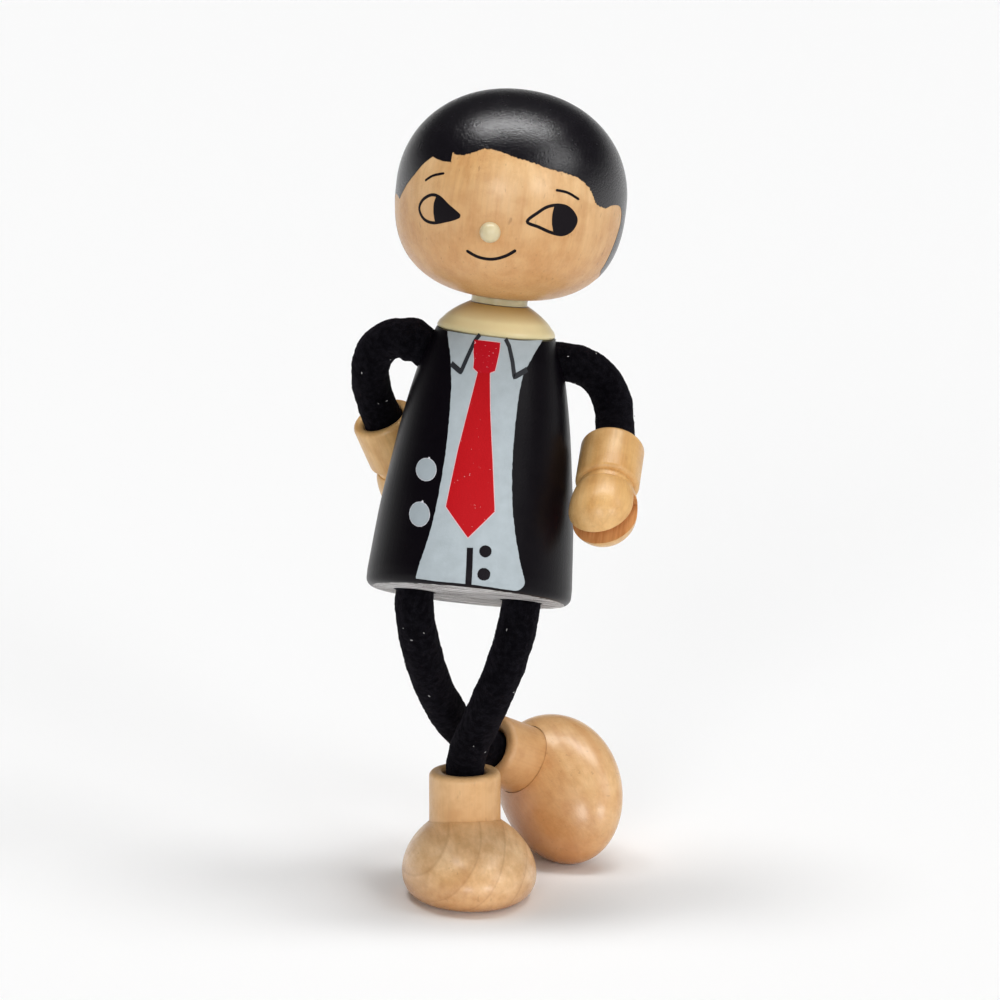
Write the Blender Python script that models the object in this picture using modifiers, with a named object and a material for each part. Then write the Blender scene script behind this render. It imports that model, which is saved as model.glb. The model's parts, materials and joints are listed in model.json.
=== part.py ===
"""Bendy doll: turned wooden head, bell-shaped body, wooden hands and shoes,
and velvet-covered wire limbs that stay where they are bent.

Metres, +Z up. The doll faces -Y and stands crossing its legs. The origin is on the
floor, under the ankle cuff of the flat left shoe. Left and right are the doll's own,
so its left side is at +X.
"""

import bmesh
import bpy
from math import cos, pi, radians, sin, sqrt, tan
from mathutils import Matrix, Vector

for leftover in list(bpy.data.objects):
    bpy.data.objects.remove(leftover, do_unlink=True)

# Running clearances and seats
seat_gap = 0.0002
bore_clearance = 0.0003
cut_overrun = 0.001

# Head, a turned bun with a shallow recess for the neck sleeve
head_radius = 0.0184
head_crown_height = 0.0168
head_chin_depth = 0.01655
head_centre_height = 0.0223
crown_roundness = 2.1
chin_roundness = 2.6
sleeve_recess_depth = 0.0018
nose_radius = 0.00165
nose_drop = 0.0050
face_turn = radians(-6.8)

# Neck
sleeve_radius = 0.0045
neck_pin_radius = 0.0020
neck_pin_below = 0.0090
neck_pin_above = 0.0120
neck_forward_bend = radians(13.5)
neck_side_bend = radians(0.7)

# Collar, a thin dome with a rounded rim
collar_radius = 0.0095
collar_height = 0.0047
collar_lip = 0.0004
collar_bulge = 0.0004

# Body, a bell turned from one block
torso_height = 0.0424
torso_hem_radius = 0.01635
torso_hem_rounding = 0.0014
torso_lean = radians(17.5)
torso_roll = radians(6.3)
torso_turn = radians(-2.5)
hip_side = 0.0006
hip_forward = 0.0080
hip_above_cuff = 0.0306
bell_height_shares = (0.066, 0.307, 0.471, 0.676, 0.88, 1.0)
bell_radius_shares = (1.0, 0.948, 0.893, 0.814, 0.707, 0.61)

# Limb ropes and the wire inside them
rope_radius = 0.0031
wire_radius = 0.0007
wire_bore_radius = 0.0011
stretch_gap = 0.0003
rope_point_spacing = 0.0017
shoulder_drop = 0.0034
left_shoulder_rise = radians(2)
right_shoulder_rise = radians(28)
shoulder_bore_depth = 0.0062
hip_spread_share = 0.52
hip_bore_depth = 0.0110

# Hands, a cuff and a fist turned from one piece and sawn up the middle
hand_cuff_radius = 0.0051
hand_cuff_length = 0.0086
hand_rim_rounding = 0.0008
hand_bore_depth = 0.0060
fist_radius = 0.0054
fist_reach = 0.0141
fist_kerf = 0.0027
wrist_neck_radius = 0.0043
wrist_groove = 0.0011
kerf_start_share = 0.45

# Hands' places, from the bell's side and below the shoulder
left_hand_clearance = 0.0068
left_hand_drop = 0.0129
left_hand_forward = 0.0005
right_hand_clearance = 0.0040
right_hand_drop = 0.0103
right_hand_back = 0.0122

# Shoes, an egg-shaped dome with a dowel cuff let into it
shoe_half_width = 0.0108
shoe_toe = 0.0190
shoe_heel = 0.0095
shoe_height = 0.0130
shoe_widest_height = 0.0040
shoe_roundness = 1.9
sole_width_share = 0.72
cuff_radius = 0.0058
cuff_top_height = 0.0196
cuff_seat_height = 0.0075
cuff_bore_depth = 0.0080
cuff_lip_rounding = 0.0008
left_shoe_turn = radians(8.6)

# The right foot stands on the side of its toe, further behind the left one if cuffs are longer
right_foot_inset = 0.0030
right_foot_behind = 0.0055
right_foot_height = 0.0121
right_cuff_tilt = radians(66.0)
right_cuff_heading = radians(224.2)
right_shoe_spin = radians(146.0)

# Where each rope bends, as shares of its free length from the body
arm_split_shares = (0.24, 0.46, 0.72)
arm_hinge_shares = (0.13, 0.59)
leg_split_shares = (0.19, 0.40, 0.57, 0.79, 0.985)
leg_hinge_shares = (0.095, 0.485, 0.885)

# How far each rope runs straight on before it turns
left_shoulder_pull = 0.0058
left_wrist_pull = 0.0105
right_shoulder_pull = 0.0050
right_wrist_pull = 0.0150
left_hip_pull = 0.0125
left_ankle_pull = 0.0055
right_hip_pull = 0.0070
right_ankle_pull = 0.0125

# Which way each cuff's mouth points, in shares of the body's axes, and how its fist is split
left_hand_heading_shares = (0.038, 0.574, 0.818)
right_hand_heading_shares = (-0.415, -0.595, 0.69)
left_split_turn = radians(-15)
right_split_turn = radians(60)

# Facet counts and the angles that stay sharp when shaded
round_edge_angle = radians(40)
wire_edge_angle = radians(75)
turned_steps = 32
small_steps = 18
pin_steps = 12
rope_resolution = 3
wire_resolution = 1
curve_samples = 80

doll_collection = bpy.data.collections.new("bendy_doll")
cutter_collection = bpy.data.collections.new("cutters")
bpy.context.scene.collection.children.link(doll_collection)
bpy.context.scene.collection.children.link(cutter_collection)


def make_material(name, colour, roughness, metallic=0.0):
    """One plain surface finish."""
    finish = bpy.data.materials.new(name)
    finish.use_nodes = True
    shader = finish.node_tree.nodes["Principled BSDF"]
    shader.inputs["Base Color"].default_value = (*colour, 1.0)
    shader.inputs["Roughness"].default_value = roughness
    shader.inputs["Metallic"].default_value = metallic
    return finish


maple = make_material("maple", (0.62, 0.40, 0.21), 0.42)
pale_birch = make_material("pale_birch", (0.68, 0.47, 0.23), 0.42)
black_paint = make_material("black_paint", (0.012, 0.011, 0.014), 0.35)
cream_plastic = make_material("cream_plastic", (0.76, 0.68, 0.44), 0.38)
clear_plastic = make_material("clear_plastic", (0.55, 0.54, 0.42), 0.3)
black_velvet = make_material("black_velvet", (0.006, 0.006, 0.008), 0.95)
steel = make_material("steel", (0.55, 0.55, 0.56), 0.35, 1.0)
beech = make_material("beech", (0.58, 0.38, 0.22), 0.55)


def turned_about_y(angle):
    return Matrix.Rotation(angle, 4, "Y")


def frame_towards(origin, z_axis, x_hint):
    """A frame at origin whose Z points along z_axis and whose X leans to x_hint."""
    z_axis = z_axis.normalized()
    y_axis = z_axis.cross(x_hint).normalized()
    x_axis = y_axis.cross(z_axis)
    frame = Matrix((x_axis, y_axis, z_axis)).transposed().to_4x4()
    frame.translation = origin
    return frame


def link_object(name, data, finish, frame, collection=doll_collection):
    """Put a mesh in the scene at a world frame."""
    item = bpy.data.objects.new(name, data)
    item.matrix_world = frame
    if finish:
        data.materials.append(finish)
    collection.objects.link(item)
    return item


def mark_as_cutter(item):
    item.hide_render = True
    item.display_type = "WIRE"


def turned_piece(name, profile, steps, finish, frame, closed=False, collection=doll_collection):
    """A turned shape: the profile runs down its outer side and is swept about Z."""
    data = bpy.data.meshes.new(name)
    points = [(radius, 0, height) for radius, height in profile]
    edges = [(i, i + 1) for i in range(len(points) - 1)]
    if closed:
        edges.append((len(points) - 1, 0))
    data.from_pydata(points, edges, [])
    item = link_object(name, data, finish, frame, collection)
    sweep = item.modifiers.new("sweep", "SCREW")
    sweep.steps = steps
    sweep.render_steps = steps
    sweep.use_merge_vertices = True
    sweep.merge_threshold = seat_gap * 0.1
    return item


def freeze(item):
    """Replace an object by its evaluated mesh, in the same place."""
    bpy.context.view_layer.update()
    graph = bpy.context.evaluated_depsgraph_get()
    data = bpy.data.meshes.new_from_object(item.evaluated_get(graph))
    item.modifiers.clear()
    item.data = data
    return item


def round_peg(name, radius, low, high, steps, frame):
    """A plain cylinder from low to high along its frame's Z, to cut with."""
    profile = [(0, high), (radius, high), (radius, low), (0, low)]
    item = turned_piece(name, profile, steps, None, frame, collection=cutter_collection)
    mark_as_cutter(item)
    return item


def block(name, size, frame):
    """A plain block of a given size, centred on its frame, to cut with."""
    bpy.ops.mesh.primitive_cube_add(size=1)
    item = bpy.context.object
    item.name = name
    for owner in list(item.users_collection):
        owner.objects.unlink(item)
    cutter_collection.objects.link(item)
    item.matrix_world = frame @ Matrix.Diagonal((*size, 1))
    mark_as_cutter(item)
    return item


def ball(name, radius, centre, steps, finish, collection=cutter_collection):
    """A ball turned from a half circle."""
    count = steps // 2
    profile = [
        (radius * sin(pi * i / count), radius * cos(pi * i / count)) for i in range(count + 1)
    ]
    profile[0] = (0, radius)
    profile[-1] = (0, -radius)
    return turned_piece(name, profile, steps, finish, centre, collection=collection)


def combine(target, tool, operation):
    step = target.modifiers.new(operation.lower(), "BOOLEAN")
    step.operation = operation
    step.solver = "EXACT"
    step.object = tool
    return step


def shade_round(item, angle=round_edge_angle):
    item.data.shade_smooth()
    item.data.set_sharp_from_angle(angle=angle)


def arc(centre_radius, centre_height, radius, start, end, count):
    """Points round a quarter or half turn of a profile; angles from +radius, upward."""
    return [
        (
            centre_radius + radius * cos(start + (end - start) * i / count),
            centre_height + radius * sin(start + (end - start) * i / count),
        )
        for i in range(count + 1)
    ]


# Frames of the body, the neck and the head
hip_height = cuff_top_height + hip_above_cuff
body_tilt = turned_about_y(torso_roll) @ Matrix.Rotation(-torso_lean, 4, "X")
torso_frame = Matrix.Translation((hip_side, -hip_forward, hip_height)) @ body_tilt
torso_frame = torso_frame @ Matrix.Rotation(torso_turn, 4, "Z")
neck_frame = (
    torso_frame
    @ Matrix.Translation((0, 0, torso_height))
    @ turned_about_y(neck_side_bend)
    @ Matrix.Rotation(neck_forward_bend, 4, "X")
)
head_frame = (
    neck_frame
    @ Matrix.Translation((0, 0, head_centre_height))
    @ Matrix.Rotation(face_turn, 4, "Z")
)


def head_half_width(height):
    """Radius of the bun at a height from its widest level."""
    if height > 0:
        share = height / head_crown_height
        roundness = crown_roundness
    else:
        share = -height / head_chin_depth
        roundness = chin_roundness
    return head_radius * max(0, 1 - share**roundness) ** (1 / roundness)


def bell_radius(height):
    """Radius of the bell at a height above the hem, on straight runs between turns."""
    share = height / torso_height
    pairs = list(zip(bell_height_shares, bell_radius_shares))
    for (low, low_radius), (high, high_radius) in zip(pairs, pairs[1:]):
        if share <= high:
            along = max(0, (share - low) / (high - low))
            return torso_hem_radius * (low_radius + (high_radius - low_radius) * along)
    return torso_hem_radius * bell_radius_shares[-1]


def make_head():
    """Bun, bored for the neck pin, with a recess for the sleeve and a nose socket."""
    recess_radius = sleeve_radius + seat_gap
    bore_radius = neck_pin_radius + bore_clearance
    levels = 10
    outline = [(0, head_crown_height)]
    for i in range(1, levels):
        height = head_crown_height * cos(pi / 2 * i / levels)
        outline.append((head_half_width(height), height))
    outline.append((head_radius, 0))
    low_share = (1 - (recess_radius / head_radius) ** chin_roundness) ** (1 / chin_roundness)
    last_height = head_chin_depth * low_share
    for i in range(1, levels):
        height = -last_height * sin(pi / 2 * i / levels)
        outline.append((head_half_width(height), height))
    recess_top = sleeve_recess_depth - last_height
    outline.append((recess_radius, -last_height))
    outline.append((recess_radius, recess_top))
    outline.append((bore_radius, recess_top))
    bore_top = collar_height + neck_pin_above + seat_gap - head_centre_height
    outline.append((bore_radius, bore_top))
    outline.append((0, bore_top))
    head = turned_piece("head", outline, turned_steps, maple, head_frame)
    surface = head_half_width(-nose_drop)
    nose_frame = head_frame @ Matrix.Translation((0, -surface, -nose_drop))
    socket = ball("nose_socket", nose_radius + seat_gap, nose_frame, pin_steps, None)
    mark_as_cutter(socket)
    combine(head, socket, "DIFFERENCE")
    shade_round(head)
    nose = ball("nose_bead", nose_radius, nose_frame, pin_steps, cream_plastic, doll_collection)
    shade_round(nose)
    return [head, nose], last_height


def make_neck(chin_level):
    """Pin, sleeve and collar, stacked on the body's slanted top."""
    bore_radius = neck_pin_radius + bore_clearance
    seat = seat_gap
    rim_centre = collar_radius - collar_lip
    dome = []
    run = 4
    foot = (collar_radius, seat + collar_lip)
    top = (sleeve_radius + seat_gap, collar_height)
    for i in range(run + 1):
        along = i / run
        swell = collar_bulge * sin(pi * along)
        dome.append(
            (
                top[0] + (foot[0] - top[0]) * along + swell,
                top[1] + (foot[1] - top[1]) * along + swell,
            )
        )
    lip = arc(rim_centre, seat + collar_lip, collar_lip, 0, -pi / 2, 3)
    section = [(bore_radius, collar_height)] + dome + lip[1:] + [(bore_radius, seat)]
    collar = turned_piece("collar", section, turned_steps, cream_plastic, neck_frame, closed=True)
    shade_round(collar)
    sleeve_low = collar_height + seat_gap
    sleeve_high = head_centre_height - chin_level + sleeve_recess_depth - seat_gap
    section = [
        (sleeve_radius, sleeve_high),
        (sleeve_radius, sleeve_low),
        (bore_radius, sleeve_low),
        (bore_radius, sleeve_high),
    ]
    sleeve = turned_piece("neck_sleeve", section, small_steps, clear_plastic, neck_frame, closed=True)
    shade_round(sleeve)
    chamfer = neck_pin_radius / 4
    low = -neck_pin_below
    high = collar_height + neck_pin_above
    section = [
        (0, high),
        (neck_pin_radius - chamfer, high),
        (neck_pin_radius, high - chamfer),
        (neck_pin_radius, low + chamfer),
        (neck_pin_radius - chamfer, low),
        (0, low),
    ]
    pin = turned_piece("neck_pin", section, pin_steps, beech, neck_frame)
    shade_round(pin)


def make_torso(shoulder_frames, hip_frames):
    """Bell with a slanted top, bored for the pin, two arm ropes and two leg ropes."""
    slant_rise = torso_hem_radius * tan(neck_forward_bend)
    outline = [(0, torso_height + slant_rise)]
    top_share = bell_radius_shares[-1]
    fall = (bell_radius_shares[-2] - top_share) / (bell_height_shares[-1] - bell_height_shares[-2])
    crown_radius = torso_hem_radius * (top_share - fall * slant_rise / torso_height)
    outline.append((crown_radius, torso_height + slant_rise))
    runs = 2
    shares = list(zip(bell_height_shares, bell_radius_shares))[::-1]
    for index in range(len(shares) - 1):
        before = shares[max(index - 1, 0)]
        here = shares[index]
        after = shares[index + 1]
        beyond = shares[min(index + 2, len(shares) - 1)]
        for i in range(runs):
            along = i / runs
            height, width = smooth_between(before, here, after, beyond, along)
            outline.append((torso_hem_radius * width, torso_height * height))
    hem_centre = torso_hem_radius - torso_hem_rounding
    outline.append((torso_hem_radius, torso_height * bell_height_shares[0]))
    outline += arc(hem_centre, torso_hem_rounding, torso_hem_rounding, 0, -pi / 2, 4)
    outline.append((0, 0))
    torso = turned_piece("torso", outline, turned_steps, black_paint, torso_frame)
    side = torso_hem_radius * 4
    slant_frame = neck_frame @ Matrix.Translation((0, 0, side / 2))
    combine(torso, block("top_slant", (side, side, side), slant_frame), "DIFFERENCE")
    depth = neck_pin_below + seat_gap
    pin_bore = round_peg(
        "pin_bore", neck_pin_radius + bore_clearance, -depth, cut_overrun, pin_steps, neck_frame
    )
    combine(torso, pin_bore, "DIFFERENCE")
    rope_bore = rope_radius + bore_clearance
    outside = torso_hem_radius
    for name, frame in shoulder_frames.items():
        low = -shoulder_bore_depth - seat_gap
        bore = round_peg(name + "_bore", rope_bore, low, outside, small_steps, frame)
        combine(torso, bore, "DIFFERENCE")
    for name, frame in hip_frames.items():
        low = -hip_bore_depth - seat_gap
        bore = round_peg(name + "_bore", rope_bore, low, cut_overrun, small_steps, frame)
        combine(torso, bore, "DIFFERENCE")
    shade_round(torso)


def smooth_between(before, here, after, beyond, along):
    """A point on a smooth curve through four neighbours, between the middle two."""
    result = []
    for a, b, c, d in zip(before, here, after, beyond):
        result.append(
            b
            + (c - a) / 2 * along
            + (a - b * 5 / 2 + c * 2 - d / 2) * along**2
            + (-a + b * 3 - c * 3 + d) / 2 * along**3
        )
    return result


def bezier(start, start_pull, end_pull, end, along):
    back = 1 - along
    return (
        start * back**3
        + start_pull * 3 * back**2 * along
        + end_pull * 3 * back * along**2
        + end * along**3
    )


class Route:
    """A rope's centre line: straight in the body, one smooth curve, straight in the cuff."""

    def __init__(self, start, start_depth, start_pull, end, end_depth, end_pull):
        out = start.to_3x3() @ Vector((0, 0, 1))
        into = end.to_3x3() @ Vector((0, 0, -1))
        first = start.translation
        last = end.translation
        curve = [
            bezier(first, first + out * start_pull, last - into * end_pull, last, i / curve_samples)
            for i in range(curve_samples + 1)
        ]
        self.points = [first - out * start_depth] + curve + [last + into * end_depth]
        self.places = [-start_depth, 0]
        for before, after in zip(curve, curve[1:]):
            self.places.append(self.places[-1] + (after - before).length)
        self.length = self.places[-1]
        self.places.append(self.length + end_depth)

    def at(self, place):
        """The point at a distance along the rope from the body's wall."""
        for i in range(len(self.places) - 1):
            if place <= self.places[i + 1]:
                along = (place - self.places[i]) / (self.places[i + 1] - self.places[i])
                return self.points[i].lerp(self.points[i + 1], along)
        return self.points[-1]

    def heading(self, place):
        reach = stretch_gap
        return (self.at(place + reach) - self.at(place - reach)).normalized()


def tube_mesh(name, points, radius, resolution):
    """A round tube along points, its ends closed, as a welded mesh in world space."""
    line = bpy.data.curves.new(name, "CURVE")
    line.dimensions = "3D"
    line.bevel_depth = radius
    line.bevel_resolution = resolution
    line.use_fill_caps = True
    spline = line.splines.new("POLY")
    spline.points.add(len(points) - 1)
    for knot, point in zip(spline.points, points):
        knot.co = (*point, 1)
    holder = bpy.data.objects.new(name, line)
    bpy.context.scene.collection.objects.link(holder)
    bpy.context.view_layer.update()
    graph = bpy.context.evaluated_depsgraph_get()
    data = bpy.data.meshes.new_from_object(holder.evaluated_get(graph))
    bpy.data.objects.remove(holder)
    bpy.data.curves.remove(line)
    return weld(data)


def weld(data):
    """Join a tube's loose caps to its wall."""
    work = bmesh.new()
    work.from_mesh(data)
    bmesh.ops.remove_doubles(work, verts=work.verts, dist=seat_gap * 0.1)
    bmesh.ops.recalc_face_normals(work, faces=work.faces)
    work.to_mesh(data)
    work.free()
    return data


def route_points(route, low, high):
    """Points from low to high. Short straight leads keep facing ends parallel."""
    first = route.at(low)
    last = route.at(high)
    lead = stretch_gap
    low_turn = route.heading(low - lead)
    high_turn = route.heading(high + lead)
    count = max(2, round((high - low) / rope_point_spacing))
    middle = [route.at(low + (high - low) * i / count) for i in range(1, count)]
    return [first, first + low_turn * lead] + middle + [last - high_turn * lead, last]


def rope_stretch(name, route, low, high):
    """One stretch of velvet rope, bored for the wire."""
    data = tube_mesh(name, route_points(route, low, high), rope_radius, rope_resolution)
    rope = link_object(name, data, black_velvet, Matrix.Identity(4))
    points = route_points(route, low, high)
    points[0] = points[0] - route.heading(low + stretch_gap) * cut_overrun
    points[-1] = points[-1] + route.heading(high - stretch_gap) * cut_overrun
    data = tube_mesh(name + "_bore", points, wire_bore_radius, wire_resolution + 1)
    bore = link_object(name + "_bore", data, None, Matrix.Identity(4), cutter_collection)
    mark_as_cutter(bore)
    combine(rope, bore, "DIFFERENCE")
    shade_round(rope)
    return rope


def make_wire(name, route, low, high):
    """The soft steel core, one length from the body to the cuff."""
    data = tube_mesh(name, route_points(route, low, high), wire_radius, wire_resolution)
    wire = link_object(name, data, steel, Matrix.Identity(4))
    shade_round(wire, wire_edge_angle)
    return wire


joint_empties = {}


def joint_empty(name, place, axis, hint, parent=None):
    """An empty on a joint, its Z along the hinge; what the joint moves hangs from it."""
    empty = bpy.data.objects.new(name, None)
    empty.empty_display_size = rope_radius
    doll_collection.objects.link(empty)
    frame = frame_towards(place, axis, hint)
    hang(empty, frame, parent)
    joint_empties[name] = frame
    return empty


def hang(item, frame, parent):
    """Parent an object and keep its world frame."""
    if parent:
        item.parent = parent
        item.matrix_parent_inverse = joint_empties[parent.name].inverted()
    item.matrix_basis = frame


def hang_all(items, parent):
    for item in items:
        hang(item, item.matrix_world.copy(), parent)


def make_hand(name, frame, split_turn):
    """Cuff, neck and a fist split by a saw kerf. Z points out of the cuff's mouth."""
    rim = hand_rim_rounding
    bore = rope_radius + bore_clearance
    floor = -hand_bore_depth - seat_gap
    outline = [(0, floor), (bore, floor), (bore, -rim)]
    outline += arc(bore + rim, -rim, rim, pi, pi / 2, 3)[1:]
    outline += arc(hand_cuff_radius - rim, -rim, rim, pi / 2, 0, 4)
    outline += arc(hand_cuff_radius - rim, rim - hand_cuff_length, rim, 0, -pi / 2, 4)
    outline.append((wrist_neck_radius, -hand_cuff_length))
    shoulder_start = hand_cuff_length + wrist_groove
    rounds = 5
    for i in range(rounds):
        turn = pi / 2 * i / rounds
        width = wrist_neck_radius + (fist_radius - wrist_neck_radius) * sin(turn)
        outline.append((width, -fist_reach + (fist_reach - shoulder_start) * cos(turn)))
    outline += arc(0, -fist_reach, fist_radius, 0, -pi / 2, rounds)
    outline[-1] = (0, -fist_reach - fist_radius)
    hand = turned_piece(name, outline, small_steps, pale_birch, frame)
    fist_frame = frame @ Matrix.Translation((0, 0, -fist_reach)) @ Matrix.Rotation(split_turn, 4, "Z")
    kerf_size = (fist_radius * 4, fist_kerf, fist_radius * 3)
    kerf_drop = kerf_size[2] / 2 - fist_radius * kerf_start_share
    kerf_frame = fist_frame @ Matrix.Translation((0, 0, -kerf_drop))
    combine(hand, block(name + "_kerf", kerf_size, kerf_frame), "DIFFERENCE")
    shade_round(hand)
    return hand


def shoe_width_share(height):
    """Width of the egg at a height above the sole, as a share of its widest."""
    if height < shoe_widest_height:
        below = (shoe_widest_height - height) / shoe_widest_height
        return sole_width_share + (1 - sole_width_share) * sqrt(1 - below**2)
    above = (height - shoe_widest_height) / (shoe_height - shoe_widest_height)
    return max(0, 1 - above**shoe_roundness) ** (1 / shoe_roundness)


def make_shoe(side, frame):
    """Egg-shaped shoe and its dowel cuff. Z points up out of the cuff, the toe to -Y."""
    levels = 8
    outline = [(0, shoe_height)]
    for i in range(1, levels):
        rise = (shoe_height - shoe_widest_height) * cos(pi / 2 * i / levels)
        height = shoe_widest_height + rise
        outline.append((shoe_half_width * shoe_width_share(height), height))
    rounds = 4
    for i in range(rounds + 1):
        height = shoe_widest_height * (1 - sin(pi / 2 * i / rounds))
        outline.append((shoe_half_width * shoe_width_share(height), height))
    outline.append((0, 0))
    shoe = turned_piece(side + "_shoe", outline, turned_steps, maple, frame)
    freeze(shoe)
    stretch = (shoe_toe + shoe_heel) / 2 / shoe_half_width
    shift = (shoe_toe - shoe_heel) / 2 / shoe_half_width
    for vertex in shoe.data.vertices:
        spread = sqrt(vertex.co.x**2 + vertex.co.y**2)
        vertex.co.y = vertex.co.y * stretch - spread * shift
    seat = round_peg(
        side + "_cuff_seat",
        cuff_radius + seat_gap,
        cuff_seat_height - seat_gap,
        shoe_height + cut_overrun,
        small_steps,
        frame,
    )
    combine(shoe, seat, "DIFFERENCE")
    shade_round(shoe)
    lip = cuff_lip_rounding
    bore = rope_radius + bore_clearance
    top = cuff_top_height
    floor = top - cuff_bore_depth - seat_gap
    outline = [(0, floor), (bore, floor), (bore, top - lip)]
    outline += arc(bore + lip, top - lip, lip, pi, pi / 2, 3)[1:]
    outline += arc(cuff_radius - lip, top - lip, lip, pi / 2, 0, 4)
    outline += [(cuff_radius, cuff_seat_height), (0, cuff_seat_height)]
    cuff = turned_piece(side + "_cuff", outline, small_steps, maple, frame)
    shade_round(cuff)
    return [shoe, cuff]


def make_arm(side, start, end, start_pull, end_pull, hand):
    """Four rope stretches, a wire and a hand, bending at the shoulder and the elbow."""
    route = Route(start, shoulder_bore_depth, start_pull, end, hand_bore_depth, end_pull)
    cuts = [route.length * share for share in arm_split_shares]
    hinges = [route.length * share for share in arm_hinge_shares]
    half = stretch_gap / 2
    rope_stretch(side + "_shoulder_rope", route, -shoulder_bore_depth, cuts[0] - half)
    upper = rope_stretch(side + "_upper_arm_rope", route, cuts[0] + half, cuts[1] - half)
    elbow = rope_stretch(side + "_elbow_rope", route, cuts[1] + half, cuts[2] - half)
    fore_end = route.length + hand_bore_depth
    forearm = rope_stretch(side + "_forearm_rope", route, cuts[2] + half, fore_end)
    make_wire(side + "_arm_wire", route, -shoulder_bore_depth, fore_end)
    raise_axis = torso_frame.to_3x3() @ Vector((0, -1 if side == "left" else 1, 0))
    hint = torso_frame.to_3x3() @ Vector((0, 0, 1))
    shoulder_joint = joint_empty(side + "_shoulder_joint", route.at(hinges[0]), raise_axis, hint)
    before = route.heading(hinges[1] - rope_radius)
    after = route.heading(hinges[1] + rope_radius)
    unbend_axis = after.cross(before)
    elbow_joint = joint_empty(
        side + "_elbow_joint", route.at(hinges[1]), unbend_axis, hint, shoulder_joint
    )
    hang_all([upper, elbow], shoulder_joint)
    hang_all([forearm, hand], elbow_joint)


def make_leg(side, start, end, start_pull, end_pull, foot):
    """Six rope stretches and a wire, bending at the hip, the knee and the ankle."""
    route = Route(start, hip_bore_depth, start_pull, end, cuff_bore_depth, end_pull)
    cuts = [route.length * share for share in leg_split_shares]
    hinges = [route.length * share for share in leg_hinge_shares]
    half = stretch_gap / 2
    rope_stretch(side + "_hip_rope", route, -hip_bore_depth, cuts[0] - half)
    thigh = rope_stretch(side + "_thigh_rope", route, cuts[0] + half, cuts[1] - half)
    knee = rope_stretch(side + "_knee_rope", route, cuts[1] + half, cuts[2] - half)
    shin = rope_stretch(side + "_shin_rope", route, cuts[2] + half, cuts[3] - half)
    ankle = rope_stretch(side + "_ankle_rope", route, cuts[3] + half, cuts[4] - half)
    end_place = route.length + cuff_bore_depth
    foot_rope = rope_stretch(side + "_foot_rope", route, cuts[4] + half, end_place)
    make_wire(side + "_leg_wire", route, -hip_bore_depth, end_place)
    swing_axis = torso_frame.to_3x3() @ Vector((-1, 0, 0))
    hint = torso_frame.to_3x3() @ Vector((0, 0, 1))
    hip_joint = joint_empty(side + "_hip_joint", route.at(hinges[0]), swing_axis, hint)
    knee_joint = joint_empty(side + "_knee_joint", route.at(hinges[1]), swing_axis, hint, hip_joint)
    ankle_joint = joint_empty(
        side + "_ankle_joint", route.at(hinges[2]), swing_axis, hint, knee_joint
    )
    hang_all([thigh, knee], hip_joint)
    hang_all([shin, ankle], knee_joint)
    hang_all([foot_rope] + foot, ankle_joint)


def hand_place(side, out_from_bell, drop, forward):
    """A point beside the bell, in the world, from the shoulder's height down."""
    height = torso_height - shoulder_drop - drop
    out = bell_radius(height) + out_from_bell
    return torso_frame @ Vector((side * out, -forward, height))


hip_spread = torso_hem_radius * hip_spread_share
shoulder_height = torso_height - shoulder_drop
shoulder_out = bell_radius(shoulder_height)
shoulder_frames = {}
hip_frames = {}
for side, sign, rise in (("left", 1, left_shoulder_rise), ("right", -1, right_shoulder_rise)):
    frame = torso_frame @ Matrix.Translation((sign * shoulder_out, 0, shoulder_height))
    shoulder_frames[side + "_shoulder"] = frame @ turned_about_y(sign * (pi / 2 - rise))
    frame = torso_frame @ Matrix.Translation((sign * hip_spread, 0, 0))
    hip_frames[side + "_hip"] = frame @ turned_about_y(pi)

head_pieces, chin_level = make_head()
make_neck(chin_level)
make_torso(shoulder_frames, hip_frames)
head_joint = joint_empty(
    "head_joint", head_frame.translation, neck_frame.to_3x3() @ Vector((0, 0, 1)), Vector((1, 0, 0))
)
hang_all(head_pieces, head_joint)

# Hands and arms
tilt = torso_frame.to_3x3()
left_mouth = hand_place(1, left_hand_clearance, left_hand_drop, left_hand_forward)
left_hand_frame = frame_towards(
    left_mouth, tilt @ Vector(left_hand_heading_shares), Vector((1, 0, 0))
)
right_mouth = hand_place(-1, right_hand_clearance, right_hand_drop, -right_hand_back)
right_hand_frame = frame_towards(
    right_mouth, tilt @ Vector(right_hand_heading_shares), Vector((1, 0, 0))
)
left_hand = make_hand("left_hand", left_hand_frame, left_split_turn)
right_hand = make_hand("right_hand", right_hand_frame, right_split_turn)
make_arm(
    "left",
    shoulder_frames["left_shoulder"],
    left_hand_frame,
    left_shoulder_pull,
    left_wrist_pull,
    left_hand,
)
make_arm(
    "right",
    shoulder_frames["right_shoulder"],
    right_hand_frame,
    right_shoulder_pull,
    right_wrist_pull,
    right_hand,
)

# Feet. The left shoe is flat on the floor, the right one is tipped behind it
left_foot_frame = Matrix.Rotation(left_shoe_turn, 4, "Z")
right_foot_side = cuff_top_height - right_foot_inset
right_foot_back = cuff_top_height + right_foot_behind
right_foot_frame = (
    Matrix.Translation((right_foot_side, right_foot_back, right_foot_height))
    @ Matrix.Rotation(right_cuff_heading, 4, "Z")
    @ Matrix.Rotation(right_cuff_tilt, 4, "Y")
    @ Matrix.Rotation(right_shoe_spin, 4, "Z")
)
cuff_mouth = Matrix.Translation((0, 0, cuff_top_height))
make_leg(
    "left",
    hip_frames["left_hip"],
    left_foot_frame @ cuff_mouth,
    left_hip_pull,
    left_ankle_pull,
    make_shoe("left", left_foot_frame),
)
make_leg(
    "right",
    hip_frames["right_hip"],
    right_foot_frame @ cuff_mouth,
    right_hip_pull,
    right_ankle_pull,
    make_shoe("right", right_foot_frame),
)

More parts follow.
